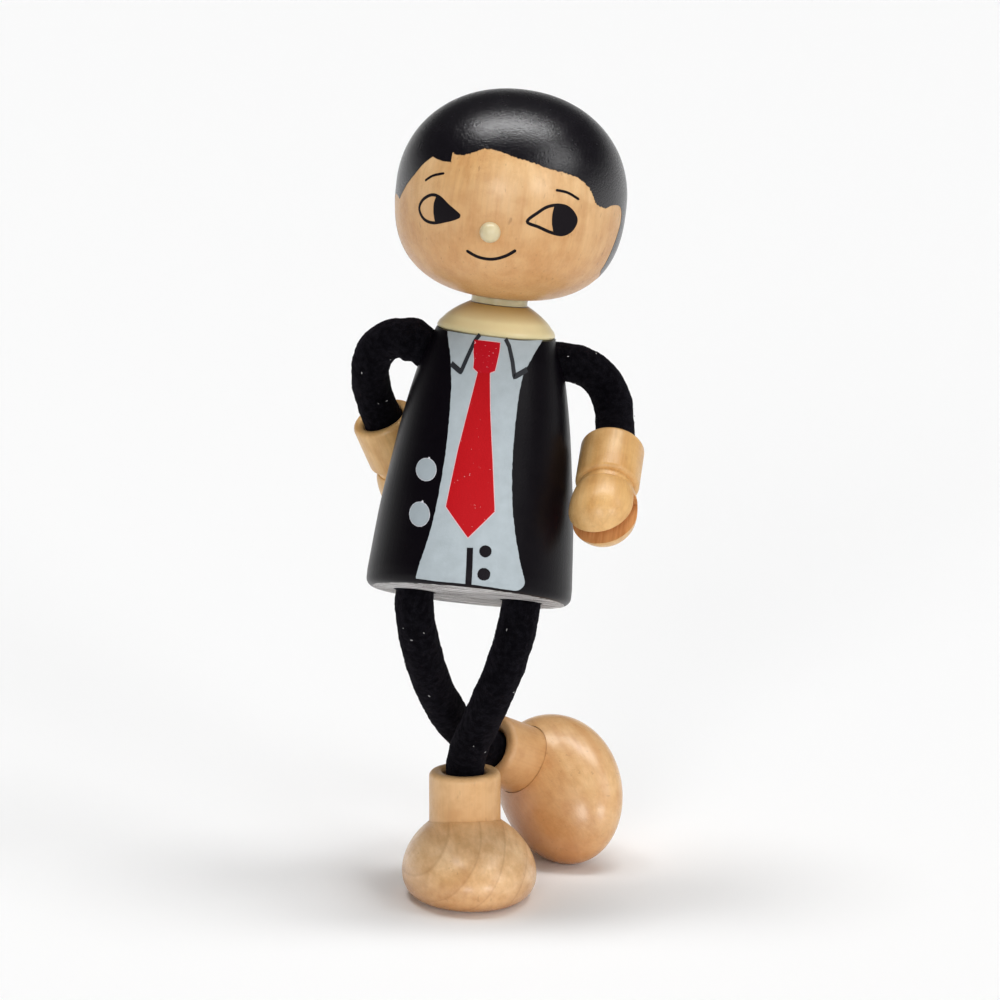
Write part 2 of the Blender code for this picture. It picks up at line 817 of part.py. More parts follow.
bpy.context.view_layer.update()
for name in sorted(joint_empties):
    frame = joint_empties[name]
    axis = frame.to_3x3() @ Vector((0, 0, 1))
    print(name, [round(v, 6) for v in frame.translation], [round(v, 6) for v in axis])
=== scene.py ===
# %% [markdown]
# # A wooden bendy doll
#
# The real toy is about 130 mm tall: a turned head, a bell-shaped body painted as a suit, and
# four velvet stems with a wire inside, which end in wooden hands and shoes. This lesson dresses
# a finished solid model of it. The solids are loaded first, and everything made here either
# gives one of them a finish or stands in its place with a finer shape.

# %% Load the solid model
from contextlib import contextmanager
from math import atan2, cos, exp, pi, radians, sin, sqrt, tan
import json
import random

import bmesh
import bpy
import numpy as np
from mathutils import Matrix, Vector, geometry, noise
from mathutils.bvhtree import BVHTree

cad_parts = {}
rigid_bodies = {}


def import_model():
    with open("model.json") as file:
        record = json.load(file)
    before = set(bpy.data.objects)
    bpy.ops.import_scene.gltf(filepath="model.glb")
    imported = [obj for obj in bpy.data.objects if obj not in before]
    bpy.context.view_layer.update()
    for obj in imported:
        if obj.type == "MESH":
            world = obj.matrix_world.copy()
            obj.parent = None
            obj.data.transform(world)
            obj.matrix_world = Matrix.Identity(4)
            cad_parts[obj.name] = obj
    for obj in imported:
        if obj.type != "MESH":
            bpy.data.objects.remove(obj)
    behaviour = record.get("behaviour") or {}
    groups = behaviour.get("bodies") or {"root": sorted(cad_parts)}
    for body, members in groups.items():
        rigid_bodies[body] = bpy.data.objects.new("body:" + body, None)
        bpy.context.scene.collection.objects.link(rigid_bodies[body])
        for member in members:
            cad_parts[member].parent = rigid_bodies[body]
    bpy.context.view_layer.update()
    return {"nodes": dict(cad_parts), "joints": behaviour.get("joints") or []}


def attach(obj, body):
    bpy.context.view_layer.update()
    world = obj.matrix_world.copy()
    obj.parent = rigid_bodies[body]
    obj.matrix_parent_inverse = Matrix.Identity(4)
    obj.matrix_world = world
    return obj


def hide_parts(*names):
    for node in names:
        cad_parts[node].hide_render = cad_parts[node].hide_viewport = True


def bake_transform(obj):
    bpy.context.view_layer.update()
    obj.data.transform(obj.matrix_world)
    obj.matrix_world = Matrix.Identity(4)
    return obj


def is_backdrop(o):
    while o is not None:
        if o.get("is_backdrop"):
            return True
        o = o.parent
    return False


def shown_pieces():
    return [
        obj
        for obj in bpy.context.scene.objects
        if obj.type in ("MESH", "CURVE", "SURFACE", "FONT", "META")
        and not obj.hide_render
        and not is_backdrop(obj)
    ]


for leftover in list(bpy.data.objects):
    bpy.data.objects.remove(leftover)
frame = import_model()
MM = 0.001
print("solid pieces:", len(frame["nodes"]))

# %% [markdown]
# ## The camera first
#
# The photograph was taken with a long lens, from a little above the doll. Knowing the camera
# early pays off twice. The picture can be compared with the photograph at once, and any mark
# seen at a pixel can be carried back along its line of sight onto the model.

# %% Set the camera
photo_size = 1000
sensor_width = 36.0
lens = 168.75
camera_place = Vector((5.7 * MM, -734.9 * MM, 213.7 * MM))
camera_down = radians(11.5)

lens_data = bpy.data.cameras.new("camera")
lens_data.sensor_width = sensor_width
lens_data.lens = lens
camera = bpy.data.objects.new("camera", lens_data)
camera.location = camera_place
camera.rotation_euler = (pi / 2 - camera_down, 0, 0)
bpy.context.scene.collection.objects.link(camera)
bpy.context.scene.camera = camera
bpy.context.view_layer.update()


def line_of_sight(pixel):
    """Where the camera is, and the direction it sees a pixel of the photograph in."""
    across = (pixel[0] / photo_size - 0.5) * sensor_width / lens
    down = (pixel[1] / photo_size - 0.5) * sensor_width / lens
    look = camera.matrix_world.to_3x3() @ Vector((across, -down, -1))
    return camera_place, look.normalized()


def pixel_of(point):
    """The pixel of the photograph that a place in space is seen at."""
    seen = camera.matrix_world.inverted() @ Vector(point)
    reach = lens / sensor_width / -seen.z
    return ((0.5 + seen.x * reach) * photo_size, (0.5 - seen.y * reach) * photo_size)


print("the origin is seen at pixel", [round(v, 1) for v in pixel_of((0, 0, 0))])

# %% [markdown]
# ## Tools for finishes
#
# A finish is a small network of nodes. One class keeps the networks readable: it holds a material
# in the making, and each of its methods adds a node and gives back what comes out of it. Grain and
# mottling use the piece's own coordinates, which the last step writes on every point as an
# attribute, so the grain leans with its piece and doesn't slide when a stem bends.

# %% Helpers for nodes
def is_socket(value):
    return isinstance(value, bpy.types.NodeSocket)


def fill(tree, node, sockets):
    """Give a node's sockets, named or numbered, their values or links."""
    for key, value in sockets.items():
        socket = node.inputs[key.replace("_", " ") if isinstance(key, str) else key]
        if is_socket(value):
            tree.links.new(value, socket)
        else:
            socket.default_value = value
    return node


def add(tree, kind, settings=None, **sockets):
    """Add a node. Settings are its own options, and sockets its input values or links."""
    node = tree.nodes.new("ShaderNode" + kind)
    for option, value in (settings or {}).items():
        setattr(node, option, value)
    return fill(tree, node, sockets)


def grey(level):
    return (level, level, level)


def rgba(colour):
    """A colour with full opacity. A socket stays as it is."""
    return colour if is_socket(colour) else (*colour, 1)


print("node helpers ready; a middle grey is", rgba(grey(0.5)))

# %% The class for a finish
own_place = "own_place"


class Finish:
    """A material in the making. Each method adds a node and gives back what comes out of it."""

    def __init__(self, name, roughness, **sockets):
        self.material = bpy.data.materials.new(name)
        self.material.use_nodes = True
        self.tree = self.material.node_tree
        self.shader = self.tree.nodes["Principled BSDF"]
        self.relief = None
        self.set(Roughness=roughness, **sockets)

    def set(self, **sockets):
        """Fill the shader's sockets and give back the material."""
        fill(self.tree, self.shader, sockets)
        return self.material

    def add(self, kind, settings=None, **sockets):
        return add(self.tree, kind, settings, **sockets)

    def place(self, stretch=(1, 1, 1), turn=(0, 0, 0), shift=(0, 0, 0)):
        """The piece's own coordinates, stretched, turned and shifted."""
        own = self.add("Attribute", {"attribute_name": own_place}).outputs["Vector"]
        node = self.add("Mapping", Vector=own, Scale=stretch, Rotation=turn, Location=shift)
        return node.outputs["Vector"]

    def noise(self, scale, detail, roughness=0.5, **placing):
        """Noise with so many lumps to the metre."""
        place = self.place(**placing)
        node = self.add("TexNoise", Vector=place, Scale=scale, Detail=detail, Roughness=roughness)
        return node.outputs["Fac"]

    def ramp(self, value, *stops):
        """A colour ramp; stops are (position, colour)."""
        node = self.add("ValToRGB", Fac=value)
        elements = node.color_ramp.elements
        while len(elements) < len(stops):
            elements.new(0.5)
        for element, (position, colour) in zip(elements, stops):
            element.position = position
            element.color = rgba(colour)
        return node.outputs["Color"]

    def mix(self, amount, first, second, blend="MIX"):
        """Mix two colours. The amount, and either colour, can be a socket or a value."""
        node = self.add("Mix", {"data_type": "RGBA", "blend_type": blend})
        fill(self.tree, node, {0: amount, 6: rgba(first), 7: rgba(second)})
        return node.outputs[2]

    def some(self, amount, value):
        """A share of a value, down to nothing."""
        return self.mix(amount, grey(0), value)

    def times(self, colour, other):
        return self.mix(1.0, colour, other, "MULTIPLY")

    def reckon(self, operation, *values):
        """A sum with sockets or numbers."""
        node = self.add("Math", {"operation": operation})
        return fill(self.tree, node, dict(enumerate(values))).outputs[0]

    def spread(self, value, **limits):
        """Stretch one range of a value over another."""
        return self.add("MapRange", Value=value, **limits).outputs[0]

    def bump(self, height, depth, amount):
        """Raise the surface by up to depth where height is 1, on top of the bump before it."""
        node = self.add("Bump", Height=height, Distance=depth, Strength=amount)
        if self.relief is not None:
            fill(self.tree, node, {"Normal": self.relief})
        self.relief = node.outputs["Normal"]
        self.set(Normal=self.relief)

    def rough(self, value, middle, swing, low=0.0, high=1.0):
        """Let the roughness swing about its middle with a value."""
        self.set(Roughness=self.spread(
            value, From_Min=low, From_Max=high, To_Min=middle - swing, To_Max=middle + swing
        ))


print("finish methods:", [name for name in vars(Finish) if not name.startswith("_")])

# %% [markdown]
# ## A plain pale studio
#
# The shine on the doll tells where its lights were. The wide glint on the hair is right overhead,
# a dimmer one is high on the right, and the two low glints on the front shoe come from the front.
# Sun lamps with a wide disc do this well: they light the floor evenly out to its edge, and their
# disc is what shows in the paint. The room is pale only near the horizon, where it grazes the
# edges of the black paint, and dark above, which is why the suit and the hair stay black.

# %% Light the studio
horizon_light = 0.80
ceiling_light = 0.05
horizon_height = 0.02
ceiling_height = 0.34
scene = bpy.context.scene
scene.view_settings.view_transform = "Standard"
world = bpy.data.worlds.new("pale_room")
scene.world = world
world.use_nodes = True
room = world.node_tree
looking = add(room, "TexCoord").outputs["Generated"]
strength = add(
    room, "MapRange", {"interpolation_type": "SMOOTHSTEP"},
    Value=add(room, "SeparateXYZ", Vector=looking).outputs["Z"],
    From_Min=horizon_height, From_Max=ceiling_height, To_Min=horizon_light, To_Max=ceiling_light,
).outputs[0]
fill(room, room.nodes["Background"], {"Color": rgba(grey(1)), "Strength": strength})


def wide_sun(name, towards_light, strength, disc):
    """A soft sun lamp that stands in a direction and is a disc so many degrees wide."""
    light = bpy.data.lights.new(name, "SUN")
    light.energy = strength
    light.angle = radians(disc)
    lamp = bpy.data.objects.new(name, light)
    lamp.rotation_euler = Vector(towards_light).to_track_quat("Z", "Y").to_euler()
    scene.collection.objects.link(lamp)


wide_sun("overhead_left", (-0.26, 0.05, 0.96), 0.80, 19)
wide_sun("overhead_middle", (0.05, 0.06, 1.0), 0.82, 19)
wide_sun("overhead_right", (0.35, 0.05, 0.94), 0.64, 19)
wide_sun("high_right", (0.693, -0.327, 0.643), 0.52, 28)
wide_sun("low_front_left", (-0.22, -0.95, 0.24), 0.80, 18)
wide_sun("low_front_right", (0.50, -0.83, 0.26), 0.80, 18)

# %% [markdown] The photograph's ground is plain white paper.

# %% Lay the floor
floor_half = 6.0
corners = [(x * floor_half, y * floor_half, 0) for x, y in ((-1, -1), (1, -1), (1, 1), (-1, 1))]
sheet = bpy.data.meshes.new("floor")
sheet.from_pydata(corners, [], [(0, 1, 2, 3)])
floor = bpy.data.objects.new("floor", sheet)
scene.collection.objects.link(floor)
floor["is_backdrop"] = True
paper = Finish("white_paper", 0.9, Base_Color=rgba(grey(0.97)), Specular_IOR_Level=0.1)
sheet.materials.append(paper.material)
print("floor width in metres:", 2 * floor_half)

# %% [markdown]
# ## Lacquered wood
#
# The head, hands and shoes are maple or birch: pale, close-grained, with faint long fibres, small
# dark flecks and a few thin growth lines. Fibres are noise stretched along the grain. Growth lines
# are rings about an axis outside the piece: the distance from it, in steps of one ring, with a
# hairline where each step ends. A wave texture could do them too, but its lines kink and swell.
# Under a clear lacquer the shine breaks into tiny speckles, so a fine bump goes on top.

# %% Make the wood finishes
wood_roughness = 0.42
ring_wander = 0.6
line_darkening = (0.70, 0.56, 0.40)
fleck_darkening = 0.55


def growth_lines(finish, centre, grain, gap):
    """1 on the thin lines where rings about a far axis come to the surface."""
    place = finish.place(grain, shift=[-c * g for c, g in zip(centre, grain)])
    far = finish.add("VectorMath", {"operation": "LENGTH"}, Vector=place).outputs["Value"]
    wander = finish.noise(70, 1, stretch=grain)
    far = finish.reckon("MULTIPLY_ADD", wander, gap * ring_wander, far)
    turn = finish.reckon("FRACT", finish.reckon("DIVIDE", far, gap))
    return finish.ramp(turn, (0.26, grey(0)), (0.45, grey(0.4)), (0.51, grey(1)), (0.57, grey(0)))


def lacquered_wood(name, pale, deep, stock, line_amount, fibre_amount, flecks=0.5, gloss=0.3,
                   painted_shade=None):
    """Wood under lacquer. It can take painted shade: along a way, all deep below one place and plain
    above another.
    """
    finish = Finish(name, wood_roughness, Coat_Weight=gloss, Coat_Roughness=0.26,
                    Specular_IOR_Level=0.4)
    centre, grain, gap = stock
    fibres = finish.noise(2600, 5, 0.65, stretch=grain)
    coarse = finish.noise(560, 3, 0.55, stretch=grain)
    share = finish.some(fibre_amount, finish.ramp(coarse, (0.34, grey(0)), (0.68, grey(1))))
    # Painted shade: the colour goes to the deep one on the shaded side of the piece, and stays plain on
    # the lit side.
    if painted_shade:
        way, shaded_below, unshaded_above = painted_shade
        height = finish.add("VectorMath", {"operation": "DOT_PRODUCT"}, Vector=finish.place())
        fill(finish.tree, height, {1: way})
        low = finish.spread(height.outputs["Value"], From_Min=shaded_below, From_Max=unshaded_above,
                            To_Min=1.0, To_Max=0.0)
        share = finish.mix(low, share, grey(1))
    colour = finish.mix(share, pale, deep)
    streak = finish.ramp(fibres, (0.34, grey(0.90)), (0.52, grey(1.0)), (0.68, grey(1.04)))
    colour = finish.mix(fibre_amount, colour, finish.times(colour, streak))
    line = finish.some(line_amount, growth_lines(finish, centre, grain, gap))
    colour = finish.mix(line, colour, tuple(c * f for c, f in zip(deep, line_darkening)))
    specks = finish.ramp(finish.noise(1500, 2, stretch=(1, 1, 0.3)), (0.67, grey(0)), (0.74, grey(1)))
    colour = finish.mix(finish.some(flecks, specks), colour, tuple(c * fleck_darkening for c in deep))
    patch = finish.ramp(finish.noise(110, 3), (0.34, (0.94, 0.87, 0.77)), (0.62, (1.03, 1.04, 1.06)))
    mottle = finish.ramp(finish.noise(330, 3, 0.6), (0.38, (0.94, 0.89, 0.83)), (0.56, grey(1.02)))
    colour = finish.times(finish.times(colour, patch), mottle)
    pits = finish.noise(3300, 3, 0.6)
    finish.bump(pits, depth=0.09 * MM, amount=0.7)
    finish.bump(fibres, depth=0.03 * MM, amount=0.5)
    finish.rough(pits, wood_roughness, 0.12, low=0.36, high=0.64)
    return finish.set(Base_Color=colour)


# %% [markdown]
# A stock is the timber a piece is turned from: where the axis of its rings passes, how its fibres
# are stretched, and the width of a ring. A wood has two colours and a stock, and then how strongly
# its growth lines and its fibres show.

# %% Choose the woods
upright_grain = (1, 1, 0.055)
head_stock = ((9 * MM, 60 * MM, 0), upright_grain, 5.5 * MM)
dowel_stock = ((40 * MM, 30 * MM, 0), upright_grain, 3.0 * MM)
shoe_stock = ((-18.6 * MM, 0, 21 * MM), (1, 0.055, 1), 4.2 * MM)
upward = Vector((0, 0, 1))
# The head darkens to its deep colour towards the chin: painted shade.
head_lacquer = lacquered_wood("head_lacquer", (0.74, 0.485, 0.24), (0.57, 0.305, 0.118),
                              head_stock, 0.08, 0.6, painted_shade=(upward, -17 * MM, 4 * MM))
hand_lacquer = lacquered_wood("hand_lacquer", (0.74, 0.47, 0.20), (0.62, 0.35, 0.122),
                              dowel_stock, 0.12, 0.75, flecks=0.15)
# The standing shoe darkens to its deep colour towards the sole: painted shade.
shoe_lacquer = lacquered_wood("shoe_lacquer", (0.89, 0.605, 0.335), (0.55, 0.265, 0.085),
                              shoe_stock, 0.3, 0.5, flecks=0.25, gloss=0.6,
                              painted_shade=(upward, -1 * MM, 7 * MM))
cuff_lacquer = lacquered_wood("cuff_lacquer", (0.72, 0.445, 0.21), (0.66, 0.38, 0.16),
                              dowel_stock, 0.1, 0.35, flecks=0.2)
print("woods:", [m.name for m in (head_lacquer, hand_lacquer, shoe_lacquer, cuff_lacquer)])

# %% [markdown]
# ## Sawn wood
#
# Where the hand is split, the saw left the wood bare. It is redder and duller than the lacquered
# outside, with fine parallel marks. The underside of the body was sawn too, and then only dusted
# with black, so it stays a streaky grey. In both, one noise gives the colour and the bump.

# %% Make the sawn finishes
def streaky(name, roughness, streaks, stops, relief=None, **sockets):
    """A finish whose colour, and its bump if it has one, follow one noise."""
    finish = Finish(name, roughness, **sockets)
    level = finish.noise(**streaks)
    if relief:
        finish.bump(level, *relief)
    return finish.set(Base_Color=finish.ramp(level, *stops))


bare_wood = streaky(
    "sawn_wood", 0.75, {"scale": 2400, "detail": 4, "stretch": (1, 1, 0.08)},
    [(0.3, (0.56, 0.23, 0.07)), (0.7, (0.74, 0.37, 0.135))], (0.08 * MM, 0.8), Specular_IOR_Level=0.25
)
dust_marks = {"scale": 3600, "detail": 3, "roughness": 0.6, "stretch": (0.03, 1, 1),
              "turn": (0, 0, radians(4))}
underside_grey = streaky(
    "dusted_underside", 0.7, dust_marks,
    [(0.44, grey(0.07)), (0.5, (0.36, 0.335, 0.335)), (0.56, grey(0.90))], (0.1 * MM, 0.8),
    Specular_IOR_Level=0.25
)
print("sawn finishes:", bare_wood.name, underside_grey.name)

# %% [markdown]
# ## Paint
#
# The suit and the hair are brushed or dipped, with the wood just telling through. The body is a
# satin black, the hair a little glossier. The shirt and tie are printed on top in flat inks, which
# miss the wood at a few pin marks.

# %% Make the paints
def smooth_paint(name, colour, roughness, specular, fibres=0.4, tell=0.05, pin_marks=0.0,
                 mark_colour=(0.8, 0.7, 0.7), peel_depth=0.04 * MM):
    finish = Finish(name, roughness, Specular_IOR_Level=specular)
    cloud = finish.noise(420, 4, 0.6)
    painted = finish.times(colour, finish.ramp(cloud, (0.3, grey(1 - tell)), (0.7, grey(1 + tell))))
    if pin_marks:
        marks = (1 - pin_marks, grey(0)), (1.02 - pin_marks, grey(1))
        painted = finish.mix(finish.ramp(finish.noise(2600, 2), *marks), painted, mark_colour)
    finish.bump(finish.noise(3600, 1), peel_depth, amount=0.6)
    finish.bump(finish.noise(1500, 4, 0.6, stretch=(1, 1, 0.045)), 0.06 * MM, amount=fibres)
    finish.rough(cloud, roughness, 0.06)
    return finish.set(Base_Color=painted)


suit_black = smooth_paint("suit_black", (0.0022, 0.0013, 0.0028), 0.33, 0.13, fibres=0.3)
hair_black = smooth_paint("hair_black", (0.0030, 0.0020, 0.0042), 0.26, 0.68, fibres=0.12,
                          peel_depth=0.09 * MM)
ink_black = smooth_paint("ink_black", (0.004, 0.002, 0.004), 0.45, 0.12)
shirt_grey = smooth_paint("shirt_grey", (0.39, 0.442, 0.47), 0.5, 0.2, fibres=0.8, tell=0.07)
button_grey = smooth_paint("button_grey", (0.34, 0.39, 0.42), 0.5, 0.25)
pale_rim = smooth_paint("pale_rim", (0.62, 0.62, 0.66), 0.5, 0.25)
pink_rim = smooth_paint("pink_rim", (0.72, 0.50, 0.53), 0.5, 0.25)
tie_red = smooth_paint("tie_red", (0.44, 0.0055, 0.0095), 0.45, 0.1, tell=0.02, pin_marks=0.26)
knot_red = smooth_paint("knot_red", (0.46, 0.0055, 0.014), 0.45, 0.12, tell=0.02, pin_marks=0.315,
                        mark_colour=(0.80, 0.38, 0.45))
collar_line = smooth_paint("collar_line", (0.022, 0.024, 0.029), 0.5, 0.2)
print("paints:", [m.name for m in (suit_black, hair_black, ink_black, shirt_grey, tie_red)])

# %% [markdown]
# ## Plastic, velvet and steel
#
# The collar is a glossy cream moulding, and the neck a length of clear tube gone a little yellow.
# Velvet drinks light: near-black pile with a weak sheen where it turns away from the eye.

# %% Make the other finishes
def cream_plastic(name, colour, head_reflection_tint=None, reflection_from=0.0, reflection_to=0.0):
    """Glossy cream. Between two heights it can turn to a darker, warmer colour: painted shade and a
    painted reflection of the wooden head, where the tube enters.
    """
    finish = Finish(name, 0.28, Specular_IOR_Level=0.5, Subsurface_Weight=0.12,
                    Subsurface_Scale=0.001, Subsurface_Radius=(1.0, 0.8, 0.5))
    tint = colour
    if head_reflection_tint:
        height = finish.add("SeparateXYZ", Vector=finish.place()).outputs["Z"]
        tint = finish.mix(finish.spread(height, From_Min=reflection_from, From_Max=reflection_to), colour, head_reflection_tint)
    cloud = finish.ramp(finish.noise(260, 3), (0.3, grey(0.97)), (0.7, grey(1.03)))
    finish.bump(finish.noise(900, 2), depth=0.04 * MM, amount=0.4)
    return finish.set(Base_Color=finish.times(tint, cloud))


def black_velvet():
    finish = Finish("velvet_pile", 0.95, Specular_IOR_Level=0.05, Sheen_Weight=0.06,
                    Sheen_Roughness=0.45, Sheen_Tint=(0.35, 0.30, 0.42, 1))
    both = finish.reckon("MULTIPLY", finish.noise(5200, 4, 0.7), finish.noise(1100, 3))
    finish.bump(both, depth=0.4 * MM, amount=0.9)
    stops = (0.20, (0.0010, 0.0008, 0.0016)), (0.50, (0.0085, 0.0080, 0.0110))
    return finish.set(Base_Color=finish.ramp(both, *stops))


# The collar's top, where the tube enters under the head, turns orange-brown: painted shade and a
# painted reflection of the wooden head.
collar_cream = cream_plastic("collar_cream", (0.82, 0.71, 0.405),
                             (0.42, 0.25, 0.065), 2.2 * MM, 4.7 * MM)
nose_cream = cream_plastic("nose_cream", (0.62, 0.535, 0.335))
velvet = black_velvet()
tube_clear = streaky(
    "clear_tube", 0.25, {"scale": 500, "detail": 3},
    [(0.3, (0.66, 0.56, 0.30)), (0.7, (0.76, 0.67, 0.42))], (0.05 * MM, 0.3),
    Specular_IOR_Level=0.5, Transmission_Weight=0.45, IOR=1.45
)
lint = streaky("lint", 0.9, {"scale": 9000, "detail": 2}, [(0.3, grey(0.25)), (0.7, grey(0.6))],
               Specular_IOR_Level=0.1)
wire_steel = streaky("soft_steel", 0.35, {"scale": 3000, "detail": 2},
                     [(0.3, grey(0.42)), (0.7, grey(0.56))], Metallic=1.0)
print("materials made:", len(bpy.data.materials))

# %% [markdown]
# ## Finding the body's own axes
#
# The doll leans, so nothing on it is upright. Rather than typing angles, the axes are read from
# the solid model's joints: the hips turn about the body's left-right axis, the shoulders about its
# front-back axis, and the head about the neck.

# %% Read the axes from the joints
def joint(name):
    return next(j for j in frame["joints"] if j["name"] == name)


def axes_matrix(x_axis, y_axis, z_axis, origin):
    matrix = Matrix((x_axis, y_axis, z_axis)).transposed().to_4x4()
    matrix.translation = origin
    return matrix


def local_box(node, axes):
    """Lowest and highest corner of a solid, measured along the given axes."""
    inverse = axes.inverted()
    points = [inverse @ v.co for v in frame["nodes"][node].data.vertices]
    low = Vector([min(p[i] for p in points) for i in range(3)])
    high = Vector([max(p[i] for p in points) for i in range(3)])
    return low, high


across_body = -Vector(joint("left_hip")["axis"]).normalized()
back_of_body = Vector(joint("right_shoulder")["axis"]).normalized()
up_body = across_body.cross(back_of_body)
tilted = axes_matrix(across_body, back_of_body, up_body, Vector())
low, high = local_box("torso", tilted)
body_frame = tilted @ Matrix.Translation(((low.x + high.x) / 2, (low.y + high.y) / 2, low.z))
hem_radius = (high.x - low.x) / 2
print("body leans", round(up_body.angle(Vector((0, 0, 1))) * 180 / pi, 1), "degrees")
print("hem radius", round(hem_radius / MM, 2), "mm")

# %% Read the neck and head axes
head_centre = Vector(joint("head_turn")["pos_m"])
neck_axis = Vector(joint("head_turn")["axis"]).normalized()
neck_x = back_of_body.cross(neck_axis).normalized()
neck_upright = axes_matrix(neck_x, neck_axis.cross(neck_x), neck_axis, head_centre)
low, high = local_box("collar", neck_upright)
neck_frame = neck_upright @ Matrix.Translation((0, 0, low.z))
collar_radius = (high.x - low.x) / 2
collar_height = high.z - low.z
low, high = local_box("nose_bead", neck_upright)
nose_way = (low + high) / 2
nose_drop = -nose_way.z
nose_radius = (high.z - low.z) / 2
head_frame = neck_upright @ Matrix.Rotation(atan2(nose_way.x, -nose_way.y), 4, "Z")
low, high = local_box("head", head_frame)
head_radius = (high.x - low.x) / 2
head_crown = high.z
print("head radius", round(head_radius / MM, 2), "crown", round(head_crown / MM, 2), "mm")

# %% [markdown]
# ## Tools for meshes
#
# Most of the doll is turned on a lathe, so one helper spins a profile about an axis. Another draws
# a smooth curve through a few chosen points, which keeps outlines short to write. Each new piece
# rides on a body of the model, and takes the place of the solids that it gives a finer shape to.

# %% Helpers for pieces
def shade(piece, degrees=38):
    """Smooth shading, but sharp where the surface turns by more than so many degrees."""
    piece.data.shade_smooth()
    piece.data.set_sharp_from_angle(angle=radians(degrees))


def stand_in(piece, body, slot_name, *nodes):
    """Let a piece ride on a body and hide the solids it replaces. The slot name is not used."""
    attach(piece, body)
    if nodes:
        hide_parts(*nodes)


def new_piece(name, points, faces, finishes, place):
    """A mesh object at its place."""
    data = bpy.data.meshes.new(name)
    data.from_pydata([tuple(p) for p in points], [], faces)
    data.validate()
    for finish in finishes:
        data.materials.append(finish)
    piece = bpy.data.objects.new(name, data)
    piece.matrix_world = place
    scene.collection.objects.link(piece)
    shade(piece)
    return piece


@contextmanager
def reworking(data):
    """Open a mesh for changes, and write it back when they are done."""
    work = bmesh.new()
    work.from_mesh(data)
    yield work
    work.to_mesh(data)
    work.free()


print("piece helpers ready")

# %% Helpers for shapes
def smooth_curve(points, parts=8, closed=False):
    """Points on a smooth curve through the given ones."""
    anchors = [np.array(p, float) for p in points]
    count = len(anchors)
    result = []
    for i in range(count if closed else count - 1):
        near = range(i - 1, i + 3)
        a, b, c, d = (anchors[k % count if closed else min(max(k, 0), count - 1)] for k in near)
        for step in range(parts):
            t = step / parts
            result.append(b + (c - a) / 2 * t + (a - 2.5 * b + 2 * c - d / 2) * t**2
                          + (1.5 * b - a / 2 - 1.5 * c + d / 2) * t**3)
    return result if closed else result + [anchors[-1]]


def lathe_mesh(profile, steps):
    """Spin (radius, height) points about Z. A radius of zero becomes a single point."""
    points = []
    rows = []
    for radius, height in profile:
        sides = steps if radius > 1e-7 else 1
        rows.append([len(points) + i % sides for i in range(steps)])
        for i in range(sides):
            angle = 2 * pi * i / steps
            points.append((radius * cos(angle), radius * sin(angle), height))
    faces = []
    for upper, lower in zip(rows, rows[1:]):
        for i in range(steps):
            j = (i + 1) % steps
            corners = dict.fromkeys((upper[i], lower[i], lower[j], upper[j]))
            if len(corners) > 2:
                faces.append(tuple(corners))
    return points, faces


def turned(name, profile, steps, finishes, place, body, slot_name, node):
    """A turned piece in place of a solid."""
    piece = new_piece(name, *lathe_mesh(profile, steps), finishes, place)
    stand_in(piece, body, slot_name, node)
    return piece


def quarter(centre_radius, centre_height, radius, start, end, count=8):
    """Points on an arc of a profile."""
    turns = [start + (end - start) * i / count for i in range(count + 1)]
    return [(centre_radius + radius * cos(t), centre_height + radius * sin(t)) for t in turns]


def bored_mouth(bore, radius, top, depth, lip):
    """The profile of a bored cuff's end, from the bore's floor out over a rounded lip."""
    outline = [(0, top - depth), (bore, top - depth), (bore, top - lip)]
    outline += quarter(bore + lip, top - lip, lip, pi, pi / 2, 6)[1:]
    return outline + quarter(radius - lip, top - lip, lip, pi / 2, 0)


print("a test lathe makes", len(lathe_mesh([(0, 1), (1, 1), (1, 0), (0, 0)], 8)[1]), "faces")

# %% Helpers for cutting
def cut(piece, points, faces, place, finish):
    """Cut a temporary mesh out of a piece, and leave its finish on the cut."""
    data = bpy.data.meshes.new("cutter")
    data.from_pydata(points, [], faces)
    data.materials.append(finish)
    tool = bpy.data.objects.new("cutter", data)
    tool.matrix_world = place
    scene.collection.objects.link(tool)
    step = piece.modifiers.new("cut", "BOOLEAN")
    step.operation = "DIFFERENCE"
    step.solver = "EXACT"
    step.object = tool
    step.material_mode = "TRANSFER"
    bpy.context.view_layer.update()
    graph = bpy.context.evaluated_depsgraph_get()
    result = bpy.data.meshes.new_from_object(piece.evaluated_get(graph))
    piece.modifiers.clear()
    piece.data = result
    bpy.data.objects.remove(tool)


def drill(piece, radius, low, high, place, finish, steps=64):
    profile = [(0, high), (radius, high), (radius, low), (0, low)]
    cut(piece, *lathe_mesh(profile, steps), place, finish)


def saw(piece, size, place, finish):
    x, y, z = (s / 2 for s in size)
    points = [(i, j, k) for k in (-z, z) for j in (-y, y) for i in (-x, x)]
    faces = [(0, 2, 3, 1), (4, 5, 7, 6), (0, 1, 5, 4), (2, 6, 7, 3), (1, 3, 7, 5), (0, 4, 6, 2)]
    cut(piece, points, faces, place, finish)


print("drill and saw ready")

# %% [markdown]
# ## The body
#
# The body is one block turned to a soft bell and then cut on a slant at the top, so that the neck
# stands straighter than the body leans. The profile is a smooth curve through a few widths. The
# two arm stems and two leg stems go into drilled holes.

# %% Turn the body
torso_height = 42.4 * MM
hem_rounding = 1.4 * MM
bell_height_shares = (0.066, 0.307, 0.471, 0.676, 0.88, 1.0)
bell_radius_shares = (1.0, 0.948, 0.893, 0.814, 0.702, 0.588)
slant = neck_axis.angle(up_body)

